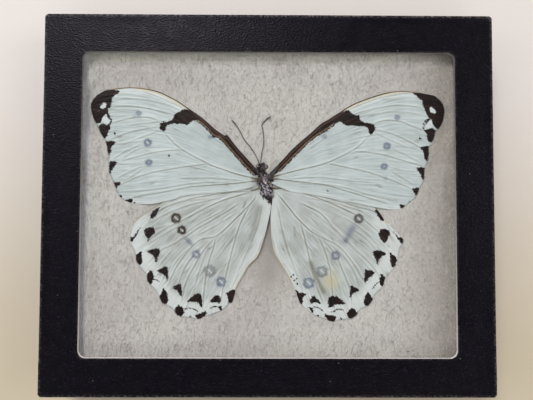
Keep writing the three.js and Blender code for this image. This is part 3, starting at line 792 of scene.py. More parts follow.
def wingFinish(name, tones):
    # pale scales in streaks along the veins, a painted highlight beside each vein and crease, a dark line
    # along each that is painted shade on the creases, thin pleat lines darkened as painted shade, dark marks
    # with a scaly edge, rings, and smudged and stained places
    wing = Finish(name)
    along = wing.along()
    streak = wing.streaks((5.0, 120.0, 1.0), along, 4.0)
    wave = wing.calc("SUBTRACT", wing.streaks((2.2, 34.0, 1.0), along, 1.0), 0.5)
    line = wing.span(wing.calc("ABSOLUTE", wave), 0.0, 0.03)
    broad = wing.noise(7.0, detail=2.0)
    grain = wing.noise(0.28, detail=3.0)
    colour = wing.mix(wing.span(broad, 0.35, 0.65), tones[0], tones[1])
    colour = wing.mix(wing.span(streak, 0.42, 0.72, (0.0, 0.45)), colour, membrane["outerTone"])
    colour = wing.mix(wing.span(streak, 0.26, 0.46, (0.28, 0.0)), colour, membrane["smudgeTone"])
    # painted highlight beside each vein and crease, then a dark line along each, which is painted shade on
    # the creases
    colour = wing.mix(wing.field("ridgeHighlight"), colour, membrane["outerTone"])
    veinLineAndCreaseShade = wing.times(wing.field("veinLineAndCreaseShade"), wing.span(broad, 0.3, 0.6, (0.7, 1.0)))
    colour = wing.mix(veinLineAndCreaseShade, colour, membrane["veinLineAndCreaseShadeTone"])
    colour = wing.mix(wing.times(wing.field("outer"), 0.75), colour, membrane["outerTone"])
    # painted shade: the thin lines that the bump raises are also darkened, like the shaded side of the pleats
    thin = wing.times(wing.calc("SUBTRACT", 1.0, line), wing.span(wing.noise(9.0), 0.4, 0.6, (0.1, 0.5)))
    colour = wing.mix(thin, colour, membrane["smudgeTone"])
    flaky = wing.span(grain, 0.3, 0.6, (0.55, 1.0))
    patchy = wing.span(wing.noise(0.4, detail=4.0, rough=0.7), 0.36, 0.58, (0.65, 1.0))
    for field, cover in (("smudge", flaky), ("stain", flaky), ("blue", patchy), ("brown", patchy)):
        colour = wing.mix(wing.times(wing.field(field), cover), colour, membrane[field + "Tone"])
    colour = wing.mix(wing.span(wing.field("slit"), 0.2, 0.9, (0.0, 0.85)), colour, membrane["outerTone"])
    colour = wing.mix(wing.span(wing.field("cream"), 0.1, 0.7), colour, membrane["creamTone"])
    ragged = wing.times(wing.calc("SUBTRACT", wing.noise(0.6, detail=5.0, rough=0.6), 0.5), 2.0)
    dark = wing.span(wing.calc("ADD", wing.field("dark"), ragged), -0.24, 0.0)
    scales = wing.mix(wing.span(streak, 0.5, 0.8), *membrane["darkTone"])
    scales = wing.mix(wing.times(wing.field("band"), flaky), scales, membrane["bandTone"])
    colour = wing.mix(dark, colour, scales)
    strip = wing.span(wing.calc("ADD", wing.field("strip"), wing.times(ragged, 0.4)), -0.12, 0.16)
    colour = wing.mix(wing.times(strip, 0.8), colour, membrane["stripTone"])
    relief = wing.bump(streak, 0.14, 0.6, wing.bump(line, 0.1, 0.5, wing.bump(grain, 0.03, 0.5)))
    wing.shade(Base_Color=colour, Roughness=wing.span(grain, 0.3, 0.7, (0.5, 0.66)), Normal=relief)
    wing.shade(Specular_IOR_Level=0.15)
    return wing.material


def veinFinish():
    # horny tubes, ochre at the root and grey-brown further out
    vein = Finish("wing vein")
    colour = vein.mix(vein.field("alongVein"), tone(112, 106, 78), tone(142, 146, 136))
    colour = vein.mix(vein.span(vein.noise(0.6), 0.35, 0.65, (0.0, 0.5)), colour, tone(160, 166, 158))
    rim = vein.mix(vein.field("rim"), tone(128, 100, 68), tone(42, 28, 23))
    colour = vein.mix(vein.field("costa"), colour, rim)
    colour = vein.mix(vein.span(vein.field("dark"), -0.15, 0.1), colour, membrane["darkTone"][0])
    vein.shade(Base_Color=colour, Roughness=0.5, Normal=vein.bump(vein.noise(0.2), 0.02, 0.4))
    return vein.material


def coonsPatch(front, hind, root, margin):
    # (1-v)F(u) + vH(u) + (1-u)R(v) + uM(v) less the same blend of the four corners
    u = np.linspace(0, 1, len(front))[None, :, None]
    v = np.linspace(0, 1, len(root))[:, None, None]
    edges = (1 - v) * front[None] + v * hind[None] + (1 - u) * root[:, None] + u * margin[:, None]
    corners = (1 - u) * (1 - v) * front[0] + u * (1 - v) * front[-1]
    return edges - (corners + (1 - u) * v * hind[0] + u * v * hind[-1])


def wingOutline(wing):
    return np.array(wing["front"] + wing["margin"][1:-1] + wing["hind"][::-1])


def wingRelief(wing, xy, u, v):
    # a ridge and a trough along each vein, a bump along each crease, and pleats that deepen outwards
    relief = 0.04 * lumps(xy, 22.0, 11)
    for line in wing["veins"]:
        d = distanceToLine(xy, curveThrough(line, 30))
        relief += 0.12 * bell(d, 0.55) - 0.07 * bell(d - 1.3, 0.8)
    for line in wing["creases"]:
        path = curveThrough(line, 20)
        depth = membrane["creaseDepth"] * smoothStep(0, 3, distanceToEnds(xy, path))
        relief += depth * bell(distanceToLine(xy, path), membrane["creaseWidth"])
    phase = 2 * math.pi * v * membrane["pleats"] + 0.9 * lumps(xy, 13.0, 17)
    relief += membrane["pleatDepth"] * np.sin(phase) * smoothStep(0.3, 0.85, u)
    relief += 0.03 * lumps(np.column_stack([u * 4, v * 46]), 1.0, 19)
    return relief


def markFields(wing, xy, isFore):
    # what the wing's finish paints with, one number a vertex: dark and strip are distances, the rest shares
    shares = ("band", "blue", "brown", "slit", "smudge", "stain", "veinLineAndCreaseShade", "ridgeHighlight", "outer", "cream")
    fields = {field: np.zeros(len(xy)) for field in shares}
    fields.update({field: np.full(len(xy), -2.0) for field in ("dark", "strip")})

    def add(field, values):
        fields[field] = np.maximum(fields[field], values)

    for outline in wing["marks"]:
        add("dark", insideNear(xy, outline))
    for x, y, radius in wing["dots"]:
        add("dark", radius - distanceTo(xy, (x, y)))
    for line in wing["threads"]:
        add("dark", 0.06 - distanceToLine(xy, curveThrough(line, 12)))
    pale = np.full(len(xy), -2.0)
    for outline in wing["pale"]:
        pale = np.maximum(pale, insideNear(xy, outline))
    fields["dark"] = np.maximum(np.minimum(fields["dark"], -pale), -2.0)
    add("outer", smoothStep(-0.3, 0.1, pale))
    edges = [distanceToLine(xy, curveThrough(wing[edge], 80)) for edge in ("front", "margin", "hind")]
    fromFront, fromMargin, fromHind = edges
    out = np.abs(xy[:, 0])
    if isFore:
        # the dark front edge with its brown band, and the brown strip along the bar mark's hind side
        outward = np.array([-0.2 * np.sign(wing["strip"][0][0]), 0.2])
        strip = curveThrough(wing["strip"], 40)
        add("strip", 0.22 - distanceToLine(xy, strip + outward))
        add("dark", 0.14 - distanceToLine(xy, strip - 0.6 * outward))
        add("band", smoothStep(30, 24, out) * bell(fromFront - 0.62, 0.17))
        rootward = smoothStep(26, 22, out)
        add("dark", np.minimum(rootward - fromFront, 2 * rootward - 1))
        add("cream", smoothStep(24, 28, out) * smoothStep(54, 40, out) * smoothStep(1.0, 0.5, fromFront))
        add("outer", 0.8 * smoothStep(24, 28, out) * smoothStep(3.0, 1.2, fromFront))
        add("outer", 0.6 * smoothStep(2.6, 0.4, fromHind))
    else:
        add("cream", 0.7 * smoothStep(0.6, 0.1, fromFront))
        add("cream", 0.9 * smoothStep(0.7, 0.1, fromHind) * smoothStep(12, 19, -xy[:, 1]))
        add("outer", smoothStep(7.0, 3.5, fromMargin))
        add("outer", 0.8 * smoothStep(5.0, 1.0, fromHind))
    # a dark line along each vein and crease, painted shade on the creases, with a painted highlight beside it
    for lines, depth in ((wing["veins"], 0.5), (wing["creases"], 0.42)):
        for line in lines:
            path = curveThrough(line, 24)
            d = distanceToLine(xy, path)
            share = depth * smoothStep(0, 2.5, distanceToEnds(xy, path))
            add("veinLineAndCreaseShade", share * bell(d, 0.17))
            add("ridgeHighlight", share * bell(d - 0.6, 0.26))
    for x, y, radius, blue, brown in wing["rings"]:
        wobble = radius * (1 + 0.07 * lumps(xy - (x, y), 1.6, int(40 + 7 * radius), 8))
        away = distanceTo(xy, (x, y)) - wobble
        ring = np.minimum(bell(away, 0.42) + 0.55 * smoothStep(0.2, -0.2, away), 1)
        add("blue", blue * ring)
        add("brown", brown * ring)
        if radius > 1:
            half = 0.35 * radius
            slit = distanceToLine(xy, [(x - half, y + half), (x + half, y - half)])
            add("slit", smoothStep(0.32, 0.05, slit))
    for field, strokes in (("smudge", "smudges"), ("blue", "hazes")):
        for line, width, share in wing.get(strokes, []):
            add(field, share * bell(distanceToLine(xy, curveThrough(line, 16)), width))
    for x, y, radius in wing.get("stains", []):
        add("stain", bell(distanceTo(xy, (x, y)), radius))
    return fields


def marginFringe(grid, seed):
    # scales that stick out along the margin, each from its own place between two rows of the grid
    rng = np.random.default_rng(seed)
    count, last = membrane["scales"], len(grid) - 1
    at = np.sort(rng.uniform(0, 1, count)) * last
    low = np.minimum(at.astype(int), last - 1)
    share = (at - low)[:, None]
    start = grid[low, -1] * (1 - share) + grid[low + 1, -1] * share
    outward = unit(start - (grid[low, -4] * (1 - share) + grid[low + 1, -4] * share))
    outward = unit(outward + 0.25 * rng.normal(size=(count, 3)) * (1, 1, 0.3))
    length = rng.uniform(*membrane["fringe"], count)
    step = np.linspace(-0.3, 1, 3)[None, :, None]
    hairs = start[:, None] + outward[:, None] * step * length[:, None, None]
    vertices, faces = sweep(hairs, np.tile([0.05, 0.05, 0.015], (count, 1)), 3)
    return vertices, faces, np.repeat(at / last, 9)


def veinTubes(wing, grid, isFore):
    # tubes whose middles lie in the wing, thinner outwards, so each vein stands on both faces of it
    places = grid.reshape(-1, 3)
    frontEdge = curveThrough(grid[0, :-1], 120)
    lines = [(curveThrough(line, 60), 0.0) for line in wing["veins"]]
    lines.append((frontEdge, 1.0 if isFore else 0.3))
    tubes, fields = [], {"alongVein": [], "costa": [], "rim": []}
    for path, costa in lines:
        near = np.linalg.norm(path[:, None, :2] - places[None, :, :2], axis=2).argmin(1)
        path = np.column_stack([path[:, :2], places[near, 2]])
        far = smoothStep(4, 34, distanceTo(path[:, :2], grid[0, 0, :2]))
        radius = membrane["veinRadius"][0] * (1 - far) + membrane["veinRadius"][1] * far
        along = np.linspace(0, 1, len(path))
        radius *= (0.25 + 0.75 * smoothStep(0.0, 0.12, along)) * (0.4 + 0.6 * smoothStep(1.0, 0.85, along))
        if costa == 1.0:
            radius = np.maximum(radius, 0.2 * smoothStep(1.0, 0.9, along) * smoothStep(0.3, 0.5, along))
        vertices, faces = sweep(path[None], radius[None], 6)
        tubes.append((vertices, faces, 1))
        fields["alongVein"].append(np.repeat(far, 6))
        fields["costa"].append(np.full(len(vertices), costa))
        fields["rim"].append(smoothStep(48, 40, np.abs(vertices[:, 0])))
    return tubes, {field: np.concatenate(values) for field, values in fields.items()}


def makeWing(name, finishes):
    # a patch between the four edges, lifted by its relief, resting on the pad along its free edges
    wing, isFore = wings[name], name.startswith("fore")
    across, down = membrane["across"], membrane["down"]
    front, hind = curveThrough(wing["front"], across), curveThrough(wing["hind"], across)
    margin = curveThrough(wing["margin"], down)
    flat = coonsPatch(front, hind, np.linspace(front[0], hind[0], down), margin)
    xy = flat.reshape(-1, 2)
    u = np.tile(np.linspace(0, 1, across), down)
    v = np.repeat(np.linspace(0, 1, down), across)
    relief = wingRelief(wing, xy, u, v)
    if isFore:
        settled = smoothStep(0.7, 0.98, v) * smoothStep(0.0, 0.2, u)
        height = membrane["forewingLevel"] + np.clip(relief, -0.16 + 0.13 * settled, 0.4)
        height -= membrane["hindDrop"] * settled
        free = [wing["front"][1:], wing["margin"]]
    else:
        covered = smoothStep(-1.0, 0.6, insideDistance(xy, wingOutline(wings["fore" + name[4:]])))
        height = membrane["hindwingLevel"] + np.clip(relief, -0.15, 0.3) * (1 - 0.75 * covered)
        free = [wing["margin"]]
    fromEdge = np.min([distanceToLine(xy, curveThrough(line, 60)) for line in free], 0)
    rest = padLevel(xy) + membrane["edgeRest"]
    height = rest + (height - rest) * smoothStep(-1.2, 3.5, fromEdge)
    height -= 0.5 * smoothStep(0.06, 0.0, u)  # the root dips into the fur
    middle = np.column_stack([xy, height])
    half = np.array([0, 0, membrane["thickness"] / 2])
    points, faces = slab(middle + half, middle - half, down, across)
    if name.endswith("right"):
        faces = [f[:, ::-1] for f in faces]
    grid = middle.reshape(down, across, 3)
    fringe, fringeFaces, fringeAlong = marginFringe(grid, len(name) + 5)
    tubes, veinFields = veinTubes(wing, grid, isFore)
    shapes = [(points, faces, 0), (fringe, fringeFaces, 0)] + tubes
    fields = markFields(wing, np.vstack([shape[0][:, :2] for shape in shapes]), isFore)
    blank = np.zeros(len(points) + len(fringe))
    fields.update({field: np.r_[blank, values] for field, values in veinFields.items()})
    uv = np.column_stack([np.r_[u, u, np.ones(len(fringe))], np.r_[v, v, fringeAlong]])
    piece = makePiece(name + "_scaled", shapes, finishes, fields, uv)
    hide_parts(name)


batting = {
    "cells": (220, 184),
    "bottom": 1.75,
    "edgeDrop": 4.5,  # how far the pad rolls down to its edge
    "underHindwings": 13.38,
    "puff": 0.65,  # how much higher it stands away from the hindwings
    "brim": 1.0,  # how much it swells again under the frame
    "gapDip": 0.9,  # how far it sinks between the hindwings
    "fibres": 24000,
    "sheets": 5,
    "length": (1.4, 4.2),
    "radius": (0.02, 0.04),
    "lift": (0.0, 0.2),
    "pale": tone(210, 206, 201),
    "dull": tone(195, 189, 185),
    "hair": tone(224, 220, 216),
    "hollow": tone(146, 140, 136),
    "fibre": (tone(184, 179, 175), tone(232, 229, 226)),
    # painted light and painted shade tones for the pad's edges
    "topPaintedLight": tone(248, 246, 228),
    "leftPaintedLight": tone(240, 241, 248),
    "rightPaintedShade": tone(158, 148, 138),
    "gapPaintedShade": tone(130, 121, 112),
}


# the balls that the thorax, the head and the stub start from: middle and half sizes
bodyBalls = {
    "thorax": (np.array([-0.95, 6.4, 12.45]), (2.5, 4.75, 2.4)),
    "head": (np.array([-2.2, 13.0, 13.25]), (1.35, 1.45, 1.4)),
    "stub": (np.array([0.18, 0.45, 12.5]), (1.5, 1.5, 1.5)),
}
bodyLean = math.radians(9)  # how far the body is turned from straight up and down the box


def betweenHindwings(xy):
    # 1 along the middle of the gap between the hindwings: bell(x, 6), faded out at its two ends
    return bell(xy[:, 0] - 0.6, 6.0) * smoothStep(3, -6, xy[:, 1]) * smoothStep(-38, -26, xy[:, 1])


def padLevel(xy):
    # low under the hindwings and in the gap between them, puffed up round them and at the frame, and lumpy
    awayFrom = {name: -insideDistance(xy, wingOutline(wing)) for name, wing in wings.items()}
    away = np.minimum(awayFrom["hindwing_left"], awayFrom["hindwing_right"])
    top = batting["underHindwings"] + batting["puff"] * smoothStep(0.5, 6.5, away)
    away = np.min(list(awayFrom.values()), 0)
    fromFrame = (np.array(card["window"]) - np.abs(xy)).min(1)
    top += batting["brim"] * smoothStep(13.0, 2.0, fromFrame) * smoothStep(2.0, 7.0, away)
    top -= batting["gapDip"] * betweenHindwings(xy)
    rough = 0.1 * lumps(xy, 12.0, 31) + 0.03 * lumps(xy, 4.0, 32) + 0.012 * lumps(xy, 1.7, 33)
    return top + np.clip(rough, -0.25, 0.25) * (0.2 + 0.8 * smoothStep(0.0, 3.0, away))


def battingTop(xy):
    # the pad's level with a bed pressed into it 0.15 below each ball of the body
    top = padLevel(xy)
    s, c = math.sin(bodyLean), math.cos(bodyLean)
    for centre, half in bodyBalls.values():
        off = xy - centre[:2]
        across, back = off[:, 0] * c + off[:, 1] * s, off[:, 0] * s - off[:, 1] * c
        q = np.clip((across / half[0]) ** 2 + (back / half[1]) ** 2, 0, 1)
        under = centre[2] - half[2] * np.sqrt(1 - q) - 0.15
        top = np.where(q < 1, np.minimum(top, under), top)
    return top


def battingFinish():
    # polyester wadding: grey-white, mottled, with short pale streaks that mostly run up and down and dark
    # specks of painted shade in its hollows, painted light in the frame's shadow beside the window's top and
    # left edges, and painted shade to the right and between the hindwings
    wad = Finish("white wadding")
    clouds = wad.noise(26.0, detail=2.0)
    hairsUp = wad.streaks((2900, 1300, 1300), wad.place, 4.0)
    hairsAcross = wad.streaks((900, 2000, 800), wad.stretch((1, 1, 1), 0.7))
    colour = wad.mix(wad.span(clouds, 0.35, 0.65), batting["dull"], batting["pale"])
    speck = wad.noise(0.36, detail=3.0, rough=0.7)
    # dark specks and cross hairs painted as shade in the hollows of the wadding
    colour = wad.mix(wad.span(speck, 0.35, 0.5, (0.32, 0.0)), colour, batting["hollow"])
    colour = wad.mix(wad.span(hairsUp, 0.5, 0.7, (0.0, 0.65)), colour, batting["hair"])
    colour = wad.mix(wad.span(hairsAcross, 0.3, 0.46, (0.12, 0.0)), colour, batting["hollow"])
    halfX, halfY = card["window"]
    across, up, _ = wad.node("SeparateXYZ", _0=wad.place).outputs
    # painted light in the frame's shadow along the window's top and left edges, painted shade towards the
    # right side
    topLightShare = wad.span(up, (halfY - 3.4) * mm, (halfY - 1.6) * mm, (0.0, 0.75))
    leftLightShare = wad.span(across, (2.8 - halfX) * mm, (1.4 - halfX) * mm, (0.0, 0.45))
    rightShadeShare = wad.span(across, 44 * mm, halfX * mm, (0.0, 0.75))
    colour = wad.mix(topLightShare, colour, batting["topPaintedLight"])
    colour = wad.mix(leftLightShare, colour, batting["leftPaintedLight"])
    colour = wad.mix(rightShadeShare, colour, batting["rightPaintedShade"])
    # painted shade between the hindwings
    colour = wad.mix(wad.times(wad.field("gap"), 0.5), colour, batting["gapPaintedShade"])
    relief = wad.bump(hairsUp, 0.14, 0.5, wad.bump(wad.noise(0.8), 0.06, 0.3))
    wad.shade(Base_Color=colour, Roughness=0.9, Normal=relief, Specular_IOR_Level=0.15)
    return wad.material


def fibreFinish():
    # single fibres, a little glossy, some whiter than others
    fibre = Finish("loose fibre")
    colour = fibre.mix(fibre.span(fibre.noise(1.2), 0.4, 0.6), *batting["fibre"])
    fibre.shade(Base_Color=colour, Roughness=0.45, Specular_IOR_Level=0.4)
    return fibre.material


def makeBatting():
    # a slab on a grid, its top at the pad's level and rolled down to its edge, and loose fibres on it
    _, high = boxOf("batting")
    half = high[:2] - 0.05
    columns, rows = batting["cells"]
    x, y = np.linspace(-half[0], half[0], columns), np.linspace(-half[1], half[1], rows)
    across, along = np.meshgrid(x, y)
    xy = np.column_stack([across.ravel(), along.ravel()])
    fromEdge = np.minimum(half[0] - np.abs(xy[:, 0]), half[1] - np.abs(xy[:, 1]))
    roll = np.sqrt(np.clip(1 - (1 - np.clip(fromEdge / 6.0, 0, 1)) ** 2, 0, 1))
    top = battingTop(xy) - batting["edgeDrop"] * (1 - roll)
    base = batting["bottom"] + 0.1 * (1 + np.clip(lumps(xy, 14.0, 35), -1, 1))
    wad = slab(np.column_stack([xy, top]), np.column_stack([xy, base]), rows, columns)
    # the gap field places the painted shade between the hindwings
    pad = makePiece("wadding_pad", [(*wad, 0)], [battingFinish()], {"gap": betweenHindwings(xy)})
    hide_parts("batting")
    makeFibres(x, y, top.reshape(rows, columns), half)


def heightOver(x, y, field, xy):
    # the pad's height at any place, blended from the four grid points round it
    i = np.clip((xy[..., 1] - y[0]) / (y[1] - y[0]), 0, len(y) - 1.001)
    j = np.clip((xy[..., 0] - x[0]) / (x[1] - x[0]), 0, len(x) - 1.001)
    a, b = i.astype(int), j.astype(int)
    s, t = i - a, j - b
    near = field[a, b] * (1 - t) + field[a, b + 1] * t
    return near * (1 - s) + (field[a + 1, b] * (1 - t) + field[a + 1, b + 1] * t) * s


def makeFibres(x, y, field, half):
    # short curved hairs where no wing lies, fewer between the hindwings: each heading is turned by a steady
    # bend, and both ends dip into the wadding
    rng = np.random.default_rng(41)
    wanted, steps = batting["fibres"], 6
    middle = rng.uniform(-1, 1, (wanted * 3, 2)) * (half - 3.5)
    away = np.full(len(middle), 99.0)
    for wing in wings.values():
        away = np.minimum(away, -insideDistance(middle, wingOutline(wing)))
    bare = (away > 0.5) & (betweenHindwings(middle) < rng.uniform(0.2, 1, len(middle)))
    middle, away = middle[bare][:wanted], away[bare][:wanted]
    count = len(middle)
    heading = rng.choice([math.pi / 2, 1.1, 2.2, 0.0], count, p=[0.5, 0.2, 0.2, 0.1])
    heading += rng.normal(0, 0.3, count)
    length = np.minimum(rng.uniform(*batting["length"], count), 2 * away + 0.8)
    bend = rng.normal(0, 0.09, count)
    t = np.linspace(-0.5, 0.5, steps)[None]
    angle = heading[:, None] + bend[:, None] * t * length[:, None]
    run = np.stack([np.cos(angle), np.sin(angle)], 2) * (length / (steps - 1))[:, None, None]
    flat = np.cumsum(run, 1)
    flat += middle[:, None] - flat.mean(1, keepdims=True)
    lift = rng.uniform(*batting["lift"], count)[:, None] * np.cos(t * math.pi) - 0.04
    z = np.minimum(heightOver(x, y, field, flat) + lift, 15.3)
    paths = np.concatenate([flat, z[..., None]], 2)
    radii = rng.uniform(*batting["radius"], count)[:, None] * np.ones((1, steps))
    finish = fibreFinish()
    for sheet, group in enumerate(np.array_split(np.arange(count), batting["sheets"])):
        vertices, faces = sweep(paths[group], radii[group], 3)
        layer = makePiece("wadding_fibres_%d" % (sheet + 1), [(vertices, faces, 0)], [finish])
        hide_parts("batting")


body = {
    "locks": 760,
    "lockLength": (0.5, 1.2),
    "combed": (0.2, -0.95, -0.15),  # the way the fur lies
    # middle, half sizes and seed of the lobes that the forewings start under
    "shoulders": [((-3.3, 8.0, 13.9), (0.7, 1.3, 0.6), 56), ((1.3, 9.4, 13.9), (0.6, 0.9, 0.6), 57)],
    "paintedShineSpot": ((-1.1, 7.4, 14.8), (0.4, 0.4, 0.34)),  # a pale cream ball painted as the highlight on a bare spot of the back
    # horny pieces that carry the wings, from the chest to the first stretch of the main veins
    "hinges": [
        [(-2.6, 9.3, 13.7), (-4.9, 9.1, 14.5), (-6.6, 9.45, 14.62)],
        [(-2.7, 8.3, 13.7), (-4.5, 8.2, 14.5), (-6.4, 8.1, 14.6)],
        [(0.7, 9.7, 13.7), (2.5, 10.0, 14.5), (4.2, 10.4, 14.62)],
        [(0.9, 8.8, 13.7), (2.3, 9.0, 14.5), (4.2, 8.8, 14.6)],
        [(-2.6, 6.2, 13.4), (-4.5, 5.2, 13.9), (-6.5, 4.7, 13.95)],
        [(1.2, 5.8, 13.4), (2.4, 5.7, 13.9), (4.4, 5.4, 13.95)],
    ],
    "dark": (tone(18, 11, 13), tone(48, 35, 38)),
    "grey": (tone(176, 170, 178), tone(228, 222, 226)),
    "cream": (tone(220, 198, 184), tone(246, 234, 226)),
    "ochre": (tone(88, 76, 48), tone(124, 112, 78)),
    "eye": (tone(44, 34, 31), tone(112, 96, 86)),
    "dust": tone(104, 90, 96),
}


def furFinish(name, tones, gloss, patches=None):
    # hair and horn: two tones clouded together, pale patches where asked, and a fine grain under the gloss
    hair = Finish(name)
    colour = hair.mix(hair.span(hair.noise(0.7, detail=4.0), 0.35, 0.65), *tones)
    if patches:
        colour = hair.mix(hair.field("dusty"), colour, body["dust"])
        patch = hair.calc("ADD", hair.noise(0.85, detail=3.0, rough=0.6), hair.field("patch"))
        colour = hair.mix(hair.span(patch, 0.55, 0.6), colour, patches)
    hair.shade(Base_Color=colour, Roughness=gloss, Normal=hair.bump(hair.noise(0.12), 0.03, 0.5))
    return hair.material


def eyeFinish():
    # a domed eye of tiny facets under a clear gloss
    eye = Finish("compound eye")
    facets = eye.cells(0.09)
    colour = eye.mix(eye.span(eye.noise(0.8), 0.35, 0.65), *body["eye"])
    eye.shade(Base_Color=colour, Roughness=0.22, Normal=eye.bump(facets, 0.02, 0.4), Coat_Weight=0.5)
    return eye.material


def blob(middle, half, rough, seed, rows=40, columns=56, waist=0.0, blunt=0.0):
    # an ellipsoid along the body: r = (1 - |t|^p)^(1/p), p = 2 and 2 + blunt at the back, times
    # 1 - waist cos(pi t)^2 / 2, swollen by lumps and turned by the body's lean
    polar = np.linspace(0.04, math.pi - 0.04, rows)[:, None]
    around = np.linspace(0, 2 * math.pi, columns, endpoint=False)[None]
    t = -np.cos(polar) * np.ones_like(around)
    p = 2 + blunt * smoothStep(0.0, 0.6, t)
    r = (1 - np.abs(t) ** p) ** (1 / p) * (1 - waist * np.cos(math.pi * t) ** 2 / 2)
    wide = 1 + 0.15 * blunt * smoothStep(0.1, 0.9, t)
    local = np.stack([r * np.cos(around) * wide, t, r * np.sin(around)], 2) * half
    s, c = math.sin(bodyLean), math.cos(bodyLean)
    ways = np.array([(c, s, 0.0), (s, -c, 0.0), (0.0, 0.0, 1.0)])  # across, back along the lean, and up
    swell = 1 + rough * lumps(local, 1.1, seed)
    return middle + (local * swell[..., None]) @ ways


def fur(rings, count, length, comb, seed, radius=0.11, keep=None):
    # hairs from random places on the skin: out along the normal, then bent towards comb
    rng = np.random.default_rng(seed)
    rows, columns = rings.shape[:2]
    i, j = rng.integers(2, rows - 2, count), rng.integers(0, columns, count)
    root = rings[i, j]
    normal = unit(root - rings.mean((0, 1)))
    if keep is not None:
        chosen = keep(root, rng)
        root, normal = root[chosen], normal[chosen]
    normal = unit(normal + 0.35 * rng.normal(size=root.shape))
    size = rng.uniform(*length, len(root))[:, None, None]
    t = np.linspace(0, 1, 4)[None, :, None]
    bent = normal[:, None] * (t - 0.45 * t**2) + np.asarray(comb, float) * 0.7 * t**1.5
    paths = root[:, None] + bent * size - normal[:, None] * 0.12
    thick = radius * np.array([0.8, 1.0, 0.7, 0.15])
    return sweep(paths, np.tile(thick, (len(root), 1)), 3, up=(0.31, 0.17, 0.94))


def horn(line, thick, thin, steps=16):
    # a round tube along the smooth line, from thick to thin
    return sweep(curveThrough(line, steps)[None], np.linspace(thick, thin, steps)[None], 8)


def cornerCount(shapes):
    return sum(len(shape[0]) for shape in shapes)


def makeThorax(finishes):
    # a blunt ball under fur: pale on its lower half, cream on its flanks, with the roots of the wings
    back = body["combed"]
    skin = blob(*bodyBalls["thorax"], 0.05, 51, waist=0.1, blunt=1.4)

    def lowerHalf(root, rng):
        y = root[:, 1]
        return (y < 8.0 - rng.uniform(0, 3.0, len(root))) & (root[:, 2] > 12.4) & (y > 3.1)

    def flanks(root, rng):
        beside = np.abs(root[:, 0] + 0.95 - 0.16 * (6.4 - root[:, 1]))
        return (beside > 1.7) & (root[:, 2] > 12.6) & (root[:, 1] < 8.0)

    shapes = [
        (*closeRings(skin), 0),
        (*fur(skin, body["locks"], body["lockLength"], back, 52), 0),
        (*fur(skin, 420, (0.6, 1.2), back, 53, keep=lowerHalf), 1),
        (*fur(skin, 420, (0.6, 1.2), (0.1, -0.5, 0.2), 54, keep=flanks), 2),
    ]
    for place, half, seed in body["shoulders"]:
        shoulder = blob(place, half, 0.1, seed, 16, 20)
        shapes += [(*closeRings(shoulder), 0), (*fur(shoulder, 130, (0.5, 1.0), back, seed), 0)]
    # the pale spot is a painted highlight: a ball of cream fur where the bare back shines
    shapes.append((*closeRings(blob(*body["paintedShineSpot"], 0.02, 55, 12, 16)), 2))
    shapes += [(*horn(line, 0.36, 0.14), 3) for line in body["hinges"]]
    # the thick front veins run dark into the chest
    for side, reach in ((-1, -5.9), (1, 3.6)):
        for shift in (0.0, 0.75):
            chest = (side * 0.9 - 0.95, 9.2 - shift, 13.5)
            bend = (side * 2.2 - 0.95, 11.0 - shift, 14.35)
            shapes.append((*horn([chest, bend, (reach, 13.8 - shift * 1.3, 14.5)], 0.5, 0.2), 0))
    x, y, _ = np.vstack([shape[0] for shape in shapes]).T
    patch = 0.05 * smoothStep(8.6, 5.0, y) - 0.12 * smoothStep(7.5, 10.0, y) - 0.4 * smoothStep(3.0, 2.4, y)
    dusty = 0.7 * smoothStep(7.6, 9.0, y) * smoothStep(1.7, 0.9, np.abs(x + 1.5))
    thorax = makePiece("furry_thorax", shapes, finishes, {"patch": patch, "dusty": dusty})
    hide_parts("thorax")


def makeHead(finishes):
    # a ball with two eyes and two palps, its fur kept off the right eye and long on the left cheek
    skull = bodyBalls["head"][0]
    face = blob(*bodyBalls["head"], 0.06, 61, 28, 36)
    shapes = [(*closeRings(face), 0)]

    def offEye(root, rng):
        return distanceTo(root[:, :2], skull[:2] + (1.42, 0.3)) > 1.25

    def leftCheek(root, rng):
        return root[:, 0] < skull[0] - 0.7

    for side in (-1, 1):
        globe = blob(skull + (1.42 * side, 0.35 - 0.05 * side, 0), (1.15, 1.15, 1.05), 0.004, 62)
        shapes.append((*closeRings(globe), 4))
        start = skull + (0.45 * side, 1.0, -0.1)
        palp = [start, start + (0.1 * side, 0.9, 0.3), start + (-0.05 * side, 1.7, 0.6)]
        shapes.append((*horn(palp, 0.42, 0.14, 14), 0))
    shapes.append((*fur(face, 380, (0.5, 1.2), (0.1, -0.5, 0.4), 63, keep=offEye), 0))
    shapes.append((*fur(face, 420, (0.9, 1.6), (-0.5, 0.2, 0.4), 65, keep=leftCheek), 0))
    shapes.append((*fur(face, 36, (0.4, 0.8), (0.0, -0.3, 0.3), 64, radius=0.05), 1))
    count = cornerCount(shapes)
    fields = {"patch": np.full(count, -0.3), "dusty": np.full(count, 0.18)}
    head = makePiece("head_with_eyes", shapes, finishes, fields)
    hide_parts("head")


def makeStub(finishes):
    # a ball that tapers backwards, under thin fur
    stub = blob(*bodyBalls["stub"], 0.09, 71, 30, 40)
    taper = 1 - 0.65 * smoothStep(1.0, -1.2, stub[..., 1])[..., None]
    spine = np.array([0.3, 12.5])
    stub[..., [0, 2]] = spine + (stub[..., [0, 2]] - spine) * taper
    shapes = [
        (*closeRings(stub), 0),
        (*fur(stub, 150, (0.4, 0.9), body["combed"], 72, radius=0.06), 0),
        (*fur(stub, 90, (0.4, 0.8), body["combed"], 73, radius=0.08), 3),
    ]
    fields = {"patch": np.full(cornerCount(shapes), -0.3)}
    end = makePiece("abdomen_remnant", shapes, finishes, fields)
    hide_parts("abdomen_stub")


